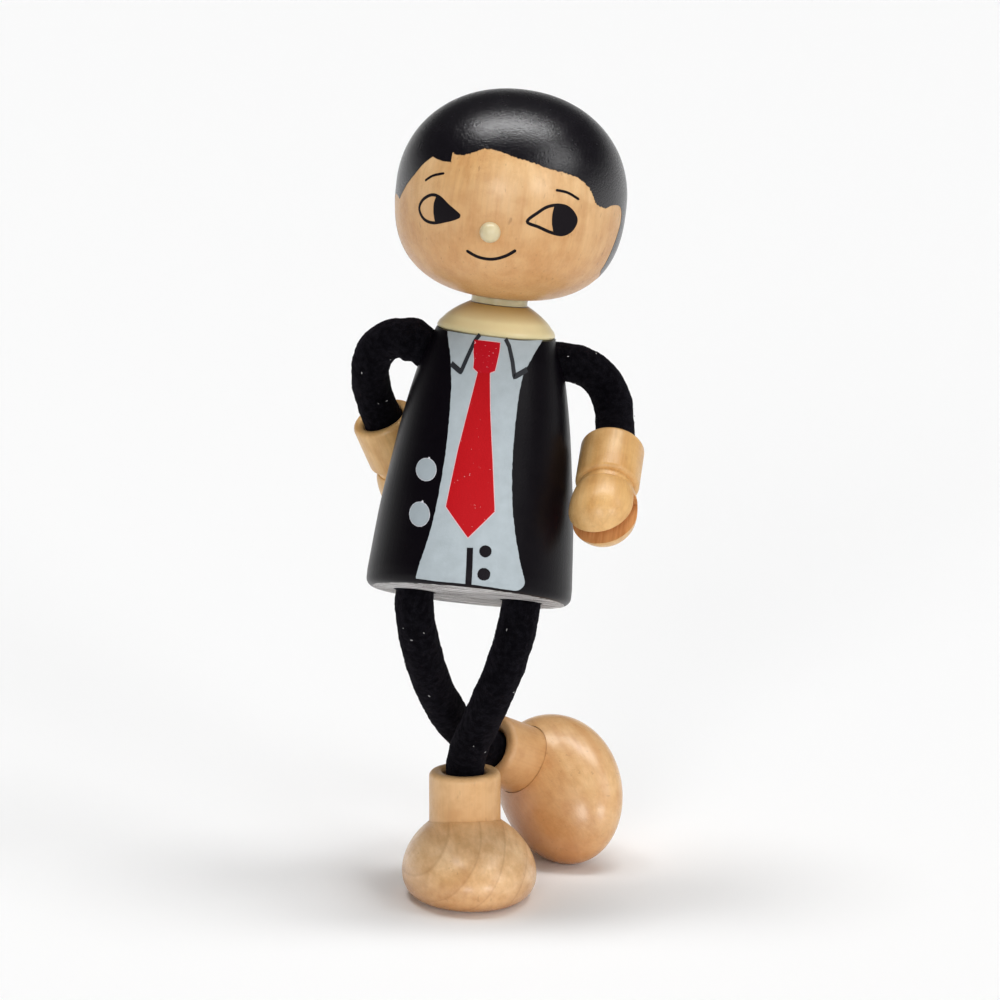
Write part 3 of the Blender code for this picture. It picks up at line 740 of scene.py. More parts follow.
bell_shares = zip(bell_radius_shares, bell_height_shares)
bell_line = smooth_curve([(hem_radius * r, torso_height * h) for r, h in bell_shares], 12)
bell_radii, bell_heights = np.array(bell_line).T
top_fall = (bell_radii[-2] - bell_radii[-1]) / (bell_heights[-1] - bell_heights[-2])


def bell_radius(height):
    """The body's radius at a height above the hem."""
    if height > torso_height:
        return bell_radii[-1] - (height - torso_height) * top_fall
    return float(np.interp(height, bell_heights, bell_radii))


block_top = torso_height + hem_radius * tan(slant)
profile = [(0, block_top), (bell_radius(block_top), block_top)] + bell_line[::-1]
profile += quarter(hem_radius - hem_rounding, hem_rounding, hem_rounding, 0, -pi / 2, 10)
profile += [(hem_radius * share, 0) for share in (0.7, 0.4, 0)]
torso = turned("painted_body", profile, 160, [suit_black, underside_grey], body_frame,
               "root", "black_paint", "torso")
print("body faces:", len(torso.data.polygons))

# %% Saw the slanted top and drill the body
saw_size = hem_radius * 4
shoulder_height = torso_height - 3.4 * MM
shoulder_rise = {"left": radians(2), "right": radians(33)}
shoulder_bore = (-7 * MM, 9 * MM)
hip_bore = (-12 * MM, 2 * MM)
hip_spread = hem_radius * 0.52
rope_radius = 3.1 * MM
bore_radius = 3.4 * MM

above_neck = neck_frame @ Matrix.Translation((0, 0, saw_size / 2))
saw(torso, [saw_size] * 3, above_neck, suit_black)
shoulder_places = {}
hip_places = {}
for side, sign in (("left", 1), ("right", -1)):
    wall = (sign * bell_radius(shoulder_height), 0, shoulder_height)
    outward = Matrix.Rotation(sign * (pi / 2 - shoulder_rise[side]), 4, "Y")
    hem = (sign * hip_spread, 0, 0)
    shoulder_places[side] = body_frame @ Matrix.Translation(wall) @ outward
    hip_places[side] = body_frame @ Matrix.Translation(hem) @ Matrix.Rotation(pi, 4, "Y")
    drill(torso, bore_radius, *shoulder_bore, shoulder_places[side], suit_black)
    drill(torso, bore_radius, *hip_bore, hip_places[side], suit_black)
print("body faces after sawing and drilling:", len(torso.data.polygons))

# %% [markdown]
# A sawn edge is sanded, so it catches a thin line of light. A bevel on the edges that lie in the
# sawn plane gives that line. The faces under the body then take the dusted finish.

# %% Round the body's top rim
rim_rounding = 0.2 * MM
plane_point = body_frame.inverted() @ neck_frame.translation
plane_way = (body_frame.inverted().to_3x3() @ neck_axis).normalized()


def on_rim(edge):
    """Whether an edge lies in the sawn plane and turns sharply."""
    level = max(abs((v.co - plane_point).dot(plane_way)) for v in edge.verts)
    return level < 0.001 * MM and len(edge.link_faces) == 2 and edge.calc_face_angle() > radians(30)


with reworking(torso.data) as work:
    rim = [edge for edge in work.edges if on_rim(edge)]
    rim_count = len(rim)
    bmesh.ops.bevel(work, geom=rim, offset=rim_rounding, segments=2, profile=0.5, affect="EDGES",
                    clamp_overlap=True)
    for face in work.faces:
        furthest = max(sqrt(v.co.x**2 + v.co.y**2) for v in face.verts)
        under = face.normal.z < -0.9 and furthest < hem_radius - hem_rounding * 0.6
        face.material_index = 1 if under else 0
shade(torso, 50)
print("rim edges rounded:", rim_count)

# %% [markdown]
# ## Painting by unrolling
#
# The shirt, tie and buttons are thin films of paint on a round body. Each is drawn as a flat
# outline on the unrolled surface, filled with small triangles, rolled back on and given a real
# thickness of a few hundredths of a millimetre. The outlines come from the photograph: a pixel is
# carried along its line of sight to where it meets the body.

# %% Unroll a surface
edge_search = 25
search_step = 0.004


class Unrolled:
    """A turned surface laid flat: how far round it, and how far down its profile."""

    def __init__(self, place, profile, body, slot_name):
        self.place = place
        self.inverse = place.inverted()
        self.paint_goes = (body, slot_name)
        self.line = np.array(profile)
        gaps = np.hypot(*np.diff(self.line, axis=0).T)
        self.downs = np.concatenate([[0], np.cumsum(gaps)])
        self.mean_radius = float(self.line[:, 0].max())
        points, faces = lathe_mesh(profile, 256)
        self.tree = BVHTree.FromPolygons([place @ Vector(p) for p in points], faces)

    def see(self, pixel):
        """The flat place of a photograph pixel. One just past the edge is brought in to it."""
        middle = pixel_of(self.place.translation)
        for step in range(edge_search):
            share = step * search_step
            inward = [p + (m - p) * share for p, m in zip(pixel, middle)]
            hit = self.tree.ray_cast(*line_of_sight(inward))[0]
            if hit is not None:
                return self.flatten(self.inverse @ hit)
        raise ValueError(f"pixel {pixel} misses the surface")

    def flatten(self, point):
        """The flat place of a point on the surface."""
        spot = np.array((sqrt(point.x**2 + point.y**2), point.z))
        near = np.argmin(np.sum((self.line - spot) ** 2, axis=1))
        found = []
        for k in (max(near - 1, 0), min(near, len(self.line) - 2)):
            run = self.line[k + 1] - self.line[k]
            along = np.clip((spot - self.line[k]) @ run / max(run @ run, 1e-18), 0, 1)
            gap = np.linalg.norm(self.line[k] + run * along - spot)
            found.append((gap, self.downs[k] + along * np.linalg.norm(run)))
        return np.array((atan2(point.x, -point.y) * self.mean_radius, min(found)[1]))

    def at(self, down):
        """The radius and height at a distance down the profile."""
        return np.array([np.interp(down, self.downs, values) for values in self.line.T])

    def roll(self, flat, lift):
        """Back to the round surface, raised by lift along the surface's normal."""
        angle = flat[0] / self.mean_radius
        step = self.downs[-1] * 0.002
        slope = self.at(flat[1] + step) - self.at(flat[1] - step)
        slope = slope / max(np.linalg.norm(slope), 1e-12)
        radius, height = self.at(flat[1]) + np.array((-slope[1], slope[0])) * lift
        return Vector((radius * sin(angle), -radius * cos(angle), height))

    def painted(self, name, points, faces, finish):
        """A piece of paint that rides with the surface."""
        piece = new_piece(name, points, faces, [finish], self.place)
        stand_in(piece, *self.paint_goes)
        return piece


body_surface = Unrolled(body_frame, profile, "root", "black_paint")
print("tie knot lies at", np.round(body_surface.see((487, 356)) / MM, 1), "mm on the flat")

# %% Fill an outline with paint
paint_sink = 0.05 * MM


def film(name, outline, surface, lift, finish, grain=0.45 * MM):
    """A closed film of paint inside a flat outline, rolled onto a surface."""
    low = np.min(outline, axis=0)
    high = np.max(outline, axis=0)
    border = [Vector(p) for p in outline]
    edges = [(i, (i + 1) % len(border)) for i in range(len(border))]
    inside = []
    for row, down in enumerate(np.arange(low[1], high[1], grain)):
        for over in np.arange(low[0], high[0], grain) + (row % 2) * grain / 2:
            inside.append(Vector((over, down)))
    flat, _, triangles = geometry.delaunay_2d_cdt(border + inside, edges, [], 1, 1e-9)[:3]
    used = sorted({i for t in triangles for i in t})
    order = {old: new for new, old in enumerate(used)}
    triangles = [tuple(order[i] for i in t) for t in triangles]
    count = len(used)
    points = [surface.roll(flat[i], height) for height in (lift, -paint_sink) for i in used]
    a, b, c = (points[i] for i in triangles[0])
    if (b - a).cross(c - a).dot(a - points[triangles[0][0] + count]) < 0:
        triangles = [t[::-1] for t in triangles]
    walls = {}
    for t in triangles:
        for edge in zip(t, t[1:] + t[:1]):
            if edge[::-1] in walls:
                del walls[edge[::-1]]
            else:
                walls[edge] = (edge[0], edge[0] + count, edge[1] + count, edge[1])
    faces = triangles + [tuple(i + count for i in t[::-1]) for t in triangles] + list(walls.values())
    return surface.painted(name, points, faces, finish)


print("films sink", round(paint_sink / MM, 3), "mm into the wood")

# %% Draw a line of paint
def stroke(name, line, width, surface, lift, finish, closed=False, square=False):
    """A drawn line of paint along flat points, with round ends unless square."""
    line = np.array(line)
    count = len(line)
    ahead = np.roll(line, -1, axis=0) - np.roll(line, 1, axis=0)
    if not closed:
        ahead[0] = line[1] - line[0]
        ahead[-1] = line[-1] - line[-2]
    aside = np.stack([-ahead[:, 1], ahead[:, 0]], axis=1)
    aside /= np.linalg.norm(aside, axis=1)[:, None]
    run = np.concatenate([[0], np.cumsum(np.linalg.norm(np.diff(line, axis=0), axis=1))])
    half = width / 2
    halves = np.full(count, half)
    if not closed and not square:
        reach = np.clip(np.minimum(run, run[-1] - run) / half, 0.02, 1)
        halves = half * np.sqrt(1 - (1 - reach) ** 2)
    points = []
    for p, reach in zip(line, aside * halves[:, None]):
        for edge, height in ((p - reach, -paint_sink), (p - reach, lift),
                             (p + reach, lift), (p + reach, -paint_sink)):
            points.append(surface.roll(edge, height))
    faces = []
    for i in range(count if closed else count - 1):
        j = (i + 1) % count
        for k, m in ((0, 1), (1, 2), (2, 3), (3, 0)):
            faces.append((i * 4 + k, j * 4 + k, j * 4 + m, i * 4 + m))
    if not closed:
        last = (count - 1) * 4
        faces += [(0, 1, 2, 3), (last + 3, last + 2, last + 1, last)]
    piece = surface.painted(name, points, faces, finish)
    with reworking(piece.data) as work:
        bmesh.ops.recalc_face_normals(work, faces=work.faces)


print("strokes ready")

# %% Curves through pixels
edge_waver = random.Random(5)


def unsteady(points, waver):
    """The points, each moved a little at random as an inked edge is."""
    moves = [np.array((edge_waver.uniform(-1, 1), edge_waver.uniform(-1, 1))) for p in points]
    return [p + move * waver for p, move in zip(points, moves)]


def seen_curve(surface, pixels, parts=8, closed=False, waver=0.0):
    """A smooth flat curve through photograph pixels, with an unsteady edge if asked."""
    return unsteady(smooth_curve([surface.see(p) for p in pixels], parts, closed), waver)


def straight_runs(surface, pixels, gap):
    """Straight flat lines between photograph pixels, with points no further than gap apart."""
    points = [surface.see(p) for p in pixels]
    result = []
    for a, b in zip(points, points[1:]):
        count = max(1, int(np.linalg.norm(b - a) / gap))
        result += [a + (b - a) * i / count for i in range(count)]
    return result + [points[-1]]


tie_line = straight_runs(body_surface, [(487, 356), (487, 500)], MM)
print("a line down the tie has", len(tie_line), "points")

# %% [markdown]
# ## The shirt front
#
# A pale blue-grey panel runs from the collar to the hem, narrow at the chest and flared below,
# with one rounded corner. Its edges were printed by hand and waver a little.

# %% Print the shirt front
film_lift = 0.03 * MM
waver = 0.05 * MM
shirt_left = [(447.7, 331), (449.6, 349), (451, 365), (451.2, 390), (449, 422), (445.4, 454.5),
              (440, 487), (434, 516.5), (427, 542), (420, 562), (416, 578.5)]
shirt_hem = [(416, 578.5), (440, 581.5), (472, 584.5), (500, 588.6), (509, 589.8)]
shirt_corner = [(509, 589.8), (515.5, 590.6), (520.5, 589), (524.6, 583.5), (523.5, 576)]
shirt_right = [(523.5, 576), (520, 562), (516, 539), (513, 514), (512, 487), (512.7, 454.5),
               (515.5, 422), (519, 395), (523, 376), (527, 367), (536, 351), (542.5, 340)]
shirt_top = [(542.5, 340), (520, 340.5), (495, 337.5), (470, 334.5), (447.7, 331)]

shirt_outline = []
for pixels, parts, amount in (
    (shirt_left, 10, waver), (shirt_hem, 8, waver * 0.4), (shirt_corner, 6, 0),
    (shirt_right, 10, waver), (shirt_top, 6, 0),
):
    shirt_outline += seen_curve(body_surface, pixels, parts, waver=amount)[:-1]
shirt = film("shirt_front", shirt_outline, body_surface, film_lift, shirt_grey)
print("shirt front faces:", len(shirt.data.polygons))

# %% [markdown]
# ## Collar points, tie and fly
#
# The collar points are two bent dark lines. The red tie has a thin pinkish edge where the shirt
# ink stops short of it, so a paler film just larger than the tie goes under it.

# %% Draw the collar points and the fly
line_lift = film_lift * 2
collar_width = 0.92 * MM
fly_width = 0.98 * MM
line_gap = 0.2 * MM
left_point = [(480, 334.5), (475, 341), (468, 356), (461, 372), (451.4, 363.5)]
right_point = [(505.5, 339), (509, 346), (512.5, 362), (514.3, 377), (527, 369.5)]
fly = [(470.0, 547.8), (469.4, 566), (468.4, 584.4)]
for name, pixels, width, gap, ink in (
    ("collar_point_right", left_point, collar_width, line_gap, collar_line),
    ("collar_point_left", right_point, collar_width, line_gap, collar_line),
    ("fly_line", fly, fly_width, line_gap * 1.5, ink_black),
):
    stroke(name, straight_runs(body_surface, pixels, gap), width, body_surface, line_lift, ink,
           square=True)
print("collar points and fly drawn")

# %% Print the tie
pink_edge = 0.13 * MM
tie_gap = 0.25 * MM
knot = [(474.6, 340), (500.2, 343), (499.4, 352), (495, 371), (489.9, 373.2), (477.8, 372.4),
        (473.4, 368.2), (474.2, 360), (473.6, 352)]
blade = [(477.8, 372.4), (489.9, 373.2), (490.2, 410), (492.5, 460), (494.6, 511.6),
         (467.9, 537.8), (446, 506.6), (458, 450)]


def grown(outline, amount):
    """The outline pushed outward by an amount."""
    line = np.array(outline)
    after = np.roll(line, -1, axis=0)
    area = np.sum(line[:, 0] * after[:, 1] - after[:, 0] * line[:, 1])
    ahead = after - np.roll(line, 1, axis=0)
    aside = np.stack([ahead[:, 1], -ahead[:, 0]], axis=1)
    aside /= np.linalg.norm(aside, axis=1)[:, None] * np.sign(area)
    return list(line + aside * amount)


for name, pixels, red in (("tie_knot", knot, knot_red), ("tie_blade", blade, tie_red)):
    outline = straight_runs(body_surface, pixels + pixels[:1], tie_gap)[:-1]
    film(name + "_edge", grown(outline, pink_edge), body_surface, film_lift * 1.7, pink_rim)
    film(name, outline, body_surface, film_lift * 2.4, red)
print("tie printed")

# %% [markdown]
# The jacket buttons are grey ovals with a paler edge and a small nib at the top. The dots on the
# fly are plain black. A perfect oval would look drawn by a machine, so each outline wavers a little.

# %% Print the buttons
nib_height = 0.17
nib_spread = 0.12
nib_angle = radians(-74)
button_rim = 0.10 * MM
jacket_buttons = [((426.3, 469.6), (10.3, 11.6)), ((419.6, 514.2), (10.3, 12.6))]
fly_dots = [((485.4, 551.4), (6.2, 6.0)), ((483.8, 574.3), (6.5, 6.3))]


def oval(centre, radii, count, waver, nib=None):
    """A flat outline of an oval seen at a pixel, wavering a little, with a small nib if asked."""
    pixels = []
    for i in range(count):
        angle = 2 * pi * i / count
        reach = 1.0
        if nib is not None:
            away = abs((angle - nib + pi) % (2 * pi) - pi)
            reach += nib_height * max(0, 1 - away / nib_spread)
        across, down = radii[0] * reach * cos(angle), radii[1] * reach * sin(angle)
        pixels.append((centre[0] + across, centre[1] + down))
    return unsteady([body_surface.see(p) for p in pixels], waver)


for index, place in enumerate(jacket_buttons):
    outer = oval(*place, 96, waver * 0.6, nib_angle)
    film(f"jacket_button_rim_{index}", outer, body_surface, film_lift, pale_rim)
    inner = grown(oval(*place, 96, waver * 0.5), -button_rim)
    film(f"jacket_button_{index}", inner, body_surface, film_lift * 2, button_grey)
for index, place in enumerate(fly_dots):
    film(f"fly_dot_{index}", oval(*place, 32, waver * 0.6), body_surface, line_lift, ink_black)
print("buttons and dots:", len(jacket_buttons), "and", len(fly_dots))

# %% [markdown]
# ## Collar and neck
#
# The collar is a thin moulded dome with a rounded rim, and the neck a short clear tube that
# disappears into the head.

# %% Turn the collar
collar_lip = 0.4 * MM
neck_hole = 2.3 * MM
sleeve_radius = 4.5 * MM
sleeve_gap = 0.05 * MM
dome_radii = (4.55, 6.27, 7.8, 8.64, 9.25, 9.5)
dome_rises = (4.3, 3.3, 2.15, 1.25, 0.55, 0.0)
dome = [(r * collar_radius / dome_radii[-1], collar_lip + h * MM)
        for r, h in smooth_curve(zip(dome_radii, dome_rises), 6)]
dome[0] = (sleeve_radius + sleeve_gap, collar_height)
lip = quarter(collar_radius - collar_lip, collar_lip, collar_lip, 0, -pi / 2)
section = [(neck_hole, 0), (neck_hole, collar_height)] + dome + lip[1:] + [(neck_hole, 0)]
collar = turned("cream_collar", section, 128, [collar_cream], neck_frame,
                "root", "cream_plastic", "collar")
print("collar faces:", len(collar.data.polygons))

# %% [markdown]
# The tube is a short ring with its top edge eased. The pin inside it hardly shows, but a clear
# tube with nothing in it would look empty.

# %% Cut the clear tube and turn its pin
ease = 0.25 * MM
low, high = local_box("neck_sleeve", neck_frame)
section = [(neck_hole, low.z), (neck_hole, high.z)]
section += quarter(sleeve_radius - ease, high.z - ease, ease, pi / 2, 0, 4)
section += [(sleeve_radius, low.z), (neck_hole, low.z)]
turned("clear_neck", section, 96, [tube_clear], neck_frame, "root", "clear_plastic", "neck_sleeve")
pin_low, pin_high = local_box("neck_pin", neck_frame)
pin_radius = (pin_high.x - pin_low.x) / 2
section = [(0, pin_high.z), (pin_radius - ease, pin_high.z), (pin_radius, pin_high.z - ease)]
section += [(pin_radius, pin_low.z + ease), (pin_radius - ease, pin_low.z), (0, pin_low.z)]
turned("turned_pin", section, 48, [cuff_lacquer], neck_frame, "root", "pin_wood", "neck_pin")
print("neck tube height", round((high.z - low.z) / MM, 2), "mm")

# %% [markdown]
# ## The head
#
# The head is a bun, rounder on top and fuller below. A power curve draws that profile: a power of
# two is a circle, and a higher one is squarer. The base carries a shallow socket for the tube.

# %% Turn the head
head_chin = 16.55 * MM
crown_roundness = 2.1
chin_roundness = 2.6
socket_depth = 1.8 * MM
socket_radius = 4.7 * MM
head_rows = 60


def bun_radius(height):
    """Radius of the head at a height from its widest level."""
    if height > 0:
        share, power = height / head_crown, crown_roundness
    else:
        share, power = -height / head_chin, chin_roundness
    return head_radius * max(0, 1 - share**power) ** (1 / power)


chin_level = head_chin * (1 - (socket_radius / head_radius) ** chin_roundness) ** (1 / chin_roundness)
turns = [pi / 2 * i / head_rows for i in range(head_rows + 1)]
levels = [head_crown * cos(turn) for turn in turns[2:-1]] + [0]
levels += [-chin_level * sin(turn) for turn in turns[1:]]
bun = [(0, head_crown)] + [(bun_radius(level), level) for level in levels]
socket = [(socket_radius, socket_depth - chin_level), (0, socket_depth - chin_level)]
head = turned("wooden_head", bun + socket, 192, [head_lacquer], head_frame,
              "head", "head_wood", "head")
head_surface = Unrolled(head_frame, bun, "head", "head_wood")
print("head faces:", len(head.data.polygons))

# %% [markdown]
# ## Painted hair
#
# The hair is one coat of black over the crown. Its front edge was brushed freehand: a small tuft
# above the right eye, a long sweep to the left and a pointed sideburn. The far sideburn repeats the
# near one from its tip on, and the edge runs low round the nape.

# %% Draw the edge of the hair
sweep_waver = 0.13 * MM
brow_waver = 0.02 * MM
tuft_gap = 0.3 * MM
left_hairline = [(600.5, 271), (606, 262), (612, 249), (617, 235.5), (620.6, 221.5), (621.2, 211.5),
                 (619, 205.8), (612.2, 205.4), (605.8, 208.5)]
sweep = [(605.8, 208.5), (601, 206.5), (596.2, 203.2), (590.6, 190.4), (581, 180), (571, 175),
         (560, 171.6), (547, 168), (531, 162), (516, 157.5), (501, 152), (489, 149), (482, 149.3),
         (472, 153), (462, 155.2), (452.6, 152.8)]
tuft = [(452.6, 152.8), (451.6, 158), (450.9, 162), (443.4, 161.3), (437, 159), (433, 156.6)]
right_sweep = [(433, 156.6), (424.2, 163.2), (414.6, 174.4), (405.8, 186.4), (399.7, 198.7)]

side_line = seen_curve(head_surface, left_hairline, 6)
brow_edge = (
    seen_curve(head_surface, sweep, 18, waver=sweep_waver)[:-1]
    + straight_runs(head_surface, tuft, tuft_gap)[:-1]
    + seen_curve(head_surface, right_sweep, 8, waver=brow_waver)
)
far_tip, near_tip = brow_edge[-1], side_line[-1]
far_side = [np.array((far_tip[0] - (p[0] - near_tip[0]), far_tip[1] + p[1] - near_tip[1]))
            for p in side_line[-2::-1]]
print("points on the hair's front edge:", len(brow_edge))

# %% [markdown]
# With the front edge known, the outline can be closed: low round the nape on each side, up the
# back, and along the crown, which the unrolled head lays out as one straight line.

# %% Paint the hair
hair_lift = 0.04 * MM
hair_grain = 0.55 * MM
crown_down = 0.02 * MM
nape_down = side_line[0][1] + 3.0 * MM
half_turn = pi * head_surface.mean_radius


def nape(start, end, count=40):
    """The low edge round the back, from one side to the seam."""
    edge = []
    for i in range(1, count + 1):
        fall = sin(pi / 2 * min(1, 3 * i / count))
        edge.append(np.array((start[0] + (end - start[0]) * i / count,
                              start[1] + (nape_down - start[1]) * fall)))
    return edge


def seam(over, start, end):
    """The cut up the back, where the flat outline begins and ends."""
    return [np.array((over, down)) for down in np.linspace(start, end, 60)[1:-1]]


top_edge = [np.array((-half_turn + 2 * half_turn * i / 160, crown_down)) for i in range(161)]
hair_outline = (
    top_edge + seam(half_turn, crown_down, nape_down) + nape(side_line[0], half_turn)[::-1]
    + side_line[:-1] + brow_edge + far_side + nape(far_side[-1], -half_turn)[:-1]
    + [np.array((-half_turn, nape_down))] + seam(-half_turn, nape_down, crown_down)
)
hair = film("painted_hair", hair_outline, head_surface, hair_lift, hair_black, hair_grain)
print("hair faces:", len(hair.data.polygons))

# %% [markdown]
# ## The face
#
# Brows, eyes and mouth are thin ink lines. Each eye is a teardrop outline on bare wood with a
# large round pupil looking to one side. The nose is a small glossy bead let into the wood.

# %% Draw the face
ink_lift = 0.03 * MM


def draw(name, pixels, width, closed=False, parts=8):
    path = seen_curve(head_surface, pixels, parts, closed)
    stroke(name, path, width, head_surface, ink_lift, ink_black, closed)


draw("right_brow", [(425, 180.8), (433, 175.7), (444.5, 173.2)], 0.40 * MM)
draw("left_brow", [(555.6, 190.0), (567.4, 192.6), (579.4, 199.7)], 0.42 * MM)
draw("mouth", [(466.2, 250.4), (477.8, 256.8), (491.4, 259.2), (505, 256.2), (516.2, 250.0)], 0.54 * MM)
print("brows and mouth drawn")

# %% [markdown]
# A pupil could be a whole disc, hidden in part by the lids. Flat paint hides nothing, so each
# pupil's outline follows the lids where it meets them.

# %% Draw the eyes
eye_line = 0.50 * MM
pupil_grain = 0.3 * MM
right_eye = [(419.4, 209), (422.6, 200.2), (431.4, 194.9), (439.6, 197.2), (448.6, 206), (457, 213.2),
             (459, 216), (455.2, 218.3), (445.8, 220.8), (433, 222.8), (423.8, 218.8)]
left_eye = [(527.2, 221.6), (538.4, 212.3), (548.2, 206.6), (559.4, 205.1), (568.6, 208), (575, 215.6),
            (576, 222.4), (571.2, 230.4), (562.6, 234.6), (551.4, 232.6), (538.6, 227)]
right_pupil = [(437.2, 196), (434.3, 202), (433.6, 208.5), (434, 215.5), (436.2, 222.2), (445.8, 220.6),
               (455, 218), (458.6, 216), (456.6, 213.2), (448.4, 206), (441.5, 199)]
left_pupil = [(555, 205.8), (552.8, 212), (551.9, 219.5), (552.4, 227), (554.6, 233.4), (562.6, 234.4),
              (571, 230.2), (575.8, 222.4), (574.8, 215.8), (568.4, 208.2), (560, 205.4)]
for name, pixels in (("right_eye", right_eye), ("left_eye", left_eye)):
    draw(name, pixels, eye_line, closed=True, parts=6)
for name, pixels in (("right_pupil", right_pupil), ("left_pupil", left_pupil)):
    pupil = seen_curve(head_surface, pixels, 5, closed=True)
    film(name, pupil, head_surface, ink_lift * 1.6, ink_black, pupil_grain)
print("eyes drawn")

# %% [markdown]
# The nose is a ball half sunk in the wood, so a whole ball is placed with its centre on the face.

# %% Set the nose
nose_place = head_frame @ Matrix.Translation((0, -bun_radius(-nose_drop), -nose_drop))
turns = [pi * i / 40 for i in range(1, 40)]
bead = [(nose_radius * sin(turn), nose_radius * cos(turn)) for turn in turns]
bead = [(0, nose_radius)] + bead + [(0, -nose_radius)]
turned("bead_nose", bead, 64, [nose_cream], nose_place, "head", "cream_plastic", "nose_bead")
print("nose radius", round(nose_radius / MM, 2), "mm")

# %% [markdown]
# ## Hands
#
# Each hand is turned in one piece: a cuff, a groove and an egg-shaped fist. The fist is then sawn
# up the middle, so that it can grip a thin card. The saw is a block, cut out with a Boolean, and
# its walls keep the bare wood's finish.

# %% Turn a hand
hand_cuff_radius = 5.1 * MM
hand_cuff_length = 8.6 * MM
hand_rim = 0.8 * MM
hand_bore_depth = 6.0 * MM
fist_radius = 5.4 * MM
fist_reach = 14.1 * MM
kerf_width = 2.7 * MM
kerf_start_share = 0.45
wrist_radius = 4.3 * MM
wrist_groove = 1.1 * MM


def towards(origin, z_axis, x_hint):
    """A frame whose Z points along z_axis and whose X leans to x_hint."""
    z_axis = z_axis.normalized()
    y_axis = z_axis.cross(x_hint).normalized()
    return axes_matrix(y_axis.cross(z_axis), y_axis, z_axis, origin)


def make_hand(side, shares, split_turn):
    """Turn the cuff and the fist, then saw the fist up the middle. Gives back the cuff's mouth."""
    way = body_frame.to_3x3() @ Vector(shares)
    axes = towards(Vector(), way, Vector((1, 0, 0)))
    low, high = local_box(side + "_hand", axes)
    mouth = axes @ Vector(((low.x + high.x) / 2, (low.y + high.y) / 2, high.z))
    place = towards(mouth, way, Vector((1, 0, 0)))
    outline = bored_mouth(bore_radius, hand_cuff_radius, 0, hand_bore_depth, hand_rim)
    outline += quarter(hand_cuff_radius - hand_rim, hand_rim - hand_cuff_length, hand_rim, 0, -pi / 2)
    outline.append((wrist_radius, -hand_cuff_length))
    swell = fist_radius - wrist_radius
    rise = fist_reach - (hand_cuff_length + wrist_groove)
    for i in range(24):
        turn = pi / 2 * i / 24
        outline.append((wrist_radius + swell * sin(turn), rise * cos(turn) - fist_reach))
    outline += quarter(0, -fist_reach, fist_radius, 0, -pi / 2, 24)[:-1]
    outline.append((0, -fist_reach - fist_radius))
    finishes = [hand_lacquer, bare_wood]
    hand = new_piece(side + "_wooden_hand", *lathe_mesh(outline, 112), finishes, place)
    fist = place @ Matrix.Translation((0, 0, -fist_reach)) @ Matrix.Rotation(split_turn, 4, "Z")
    size = (fist_radius * 4, kerf_width, fist_radius * 3)
    drop = size[2] / 2 - fist_radius * kerf_start_share
    saw(hand, size, fist @ Matrix.Translation((0, 0, -drop)), bare_wood)
    shade(hand, 40)
    stand_in(hand, side + "_hand", "hand_wood", side + "_hand")
    print(side, "hand faces:", len(hand.data.polygons))
    return place


left_mouth = make_hand("left", (0.038, 0.574, 0.818), radians(-15))
right_mouth = make_hand("right", (-0.415, -0.595, 0.69), radians(60))

# %% [markdown]
# ## Shoes
#
# A shoe starts as a turned dome and is then stretched more towards the toe than the heel. A dowel
# is let into its top as the cuff, and the fine dark line round the joint is a real gap.

# %% Shape a foot
shoe_half_width = 10.8 * MM
shoe_toe = 19.0 * MM
shoe_heel = 9.5 * MM
shoe_height = 13.0 * MM
shoe_widest = 4.0 * MM
shoe_roundness = 1.9
sole_share = 0.72
cuff_radius = 5.8 * MM
cuff_top = 19.6 * MM
cuff_seat = 7.5 * MM
cuff_bore_depth = 8.0 * MM
cuff_lip = 1.0 * MM
seat_gap = 0.12 * MM


def shoe_share(height):
    if height < shoe_widest:
        below = (shoe_widest - height) / shoe_widest
        return sole_share + (1 - sole_share) * sqrt(1 - below**2)
    above = (height - shoe_widest) / (shoe_height - shoe_widest)
    return max(0, 1 - above**shoe_roundness) ** (1 / shoe_roundness)


def make_foot(side, place, shoe_finish, cuff_finish):
    """Turn, stretch and drill the shoe, and turn the cuff that stands in it."""
    stretch = (shoe_toe + shoe_heel) / 2 / shoe_half_width
    shift = (shoe_toe - shoe_heel) / 2 / shoe_half_width
    crown = shoe_height - shoe_widest
    heights = [shoe_widest + crown * cos(pi / 2 * i / 48) for i in range(1, 48)]
    heights += [shoe_widest * (1 - sin(pi / 2 * i / 24)) for i in range(25)]
    outline = [(0, shoe_height)] + [(shoe_half_width * shoe_share(h), h) for h in heights]
    outline += [(shoe_half_width * sole_share * share, 0) for share in (0.6, 0.3, 0)]
    points, faces = lathe_mesh(outline, 160)
    points = [(x, y * stretch - sqrt(x * x + y * y) * shift, z) for x, y, z in points]
    shoe = new_piece(side + "_wooden_shoe", points, faces, [shoe_finish], place)
    drill(shoe, cuff_radius + seat_gap, cuff_seat, shoe_height * 1.2, place, shoe_finish, 96)
    shade(shoe, 40)
    stand_in(shoe, side + "_foot", "shoe_wood", side + "_shoe")
    outline = bored_mouth(bore_radius, cuff_radius, cuff_top, cuff_bore_depth, cuff_lip)
    outline += [(cuff_radius, cuff_seat), (0, cuff_seat)]
    turned(side + "_ankle_cuff", outline, 96, [cuff_finish], place,
           side + "_foot", "shoe_wood", side + "_cuff")
    print(side, "shoe faces:", len(shoe.data.polygons))


# %% [markdown]
# The doll stands on its left shoe. The right one is raised behind it and lies on its side to the light.
# Its finishes are darker copies of the standing foot's, with painted shade: plain where the light
# falls, and redder and darker away from it.

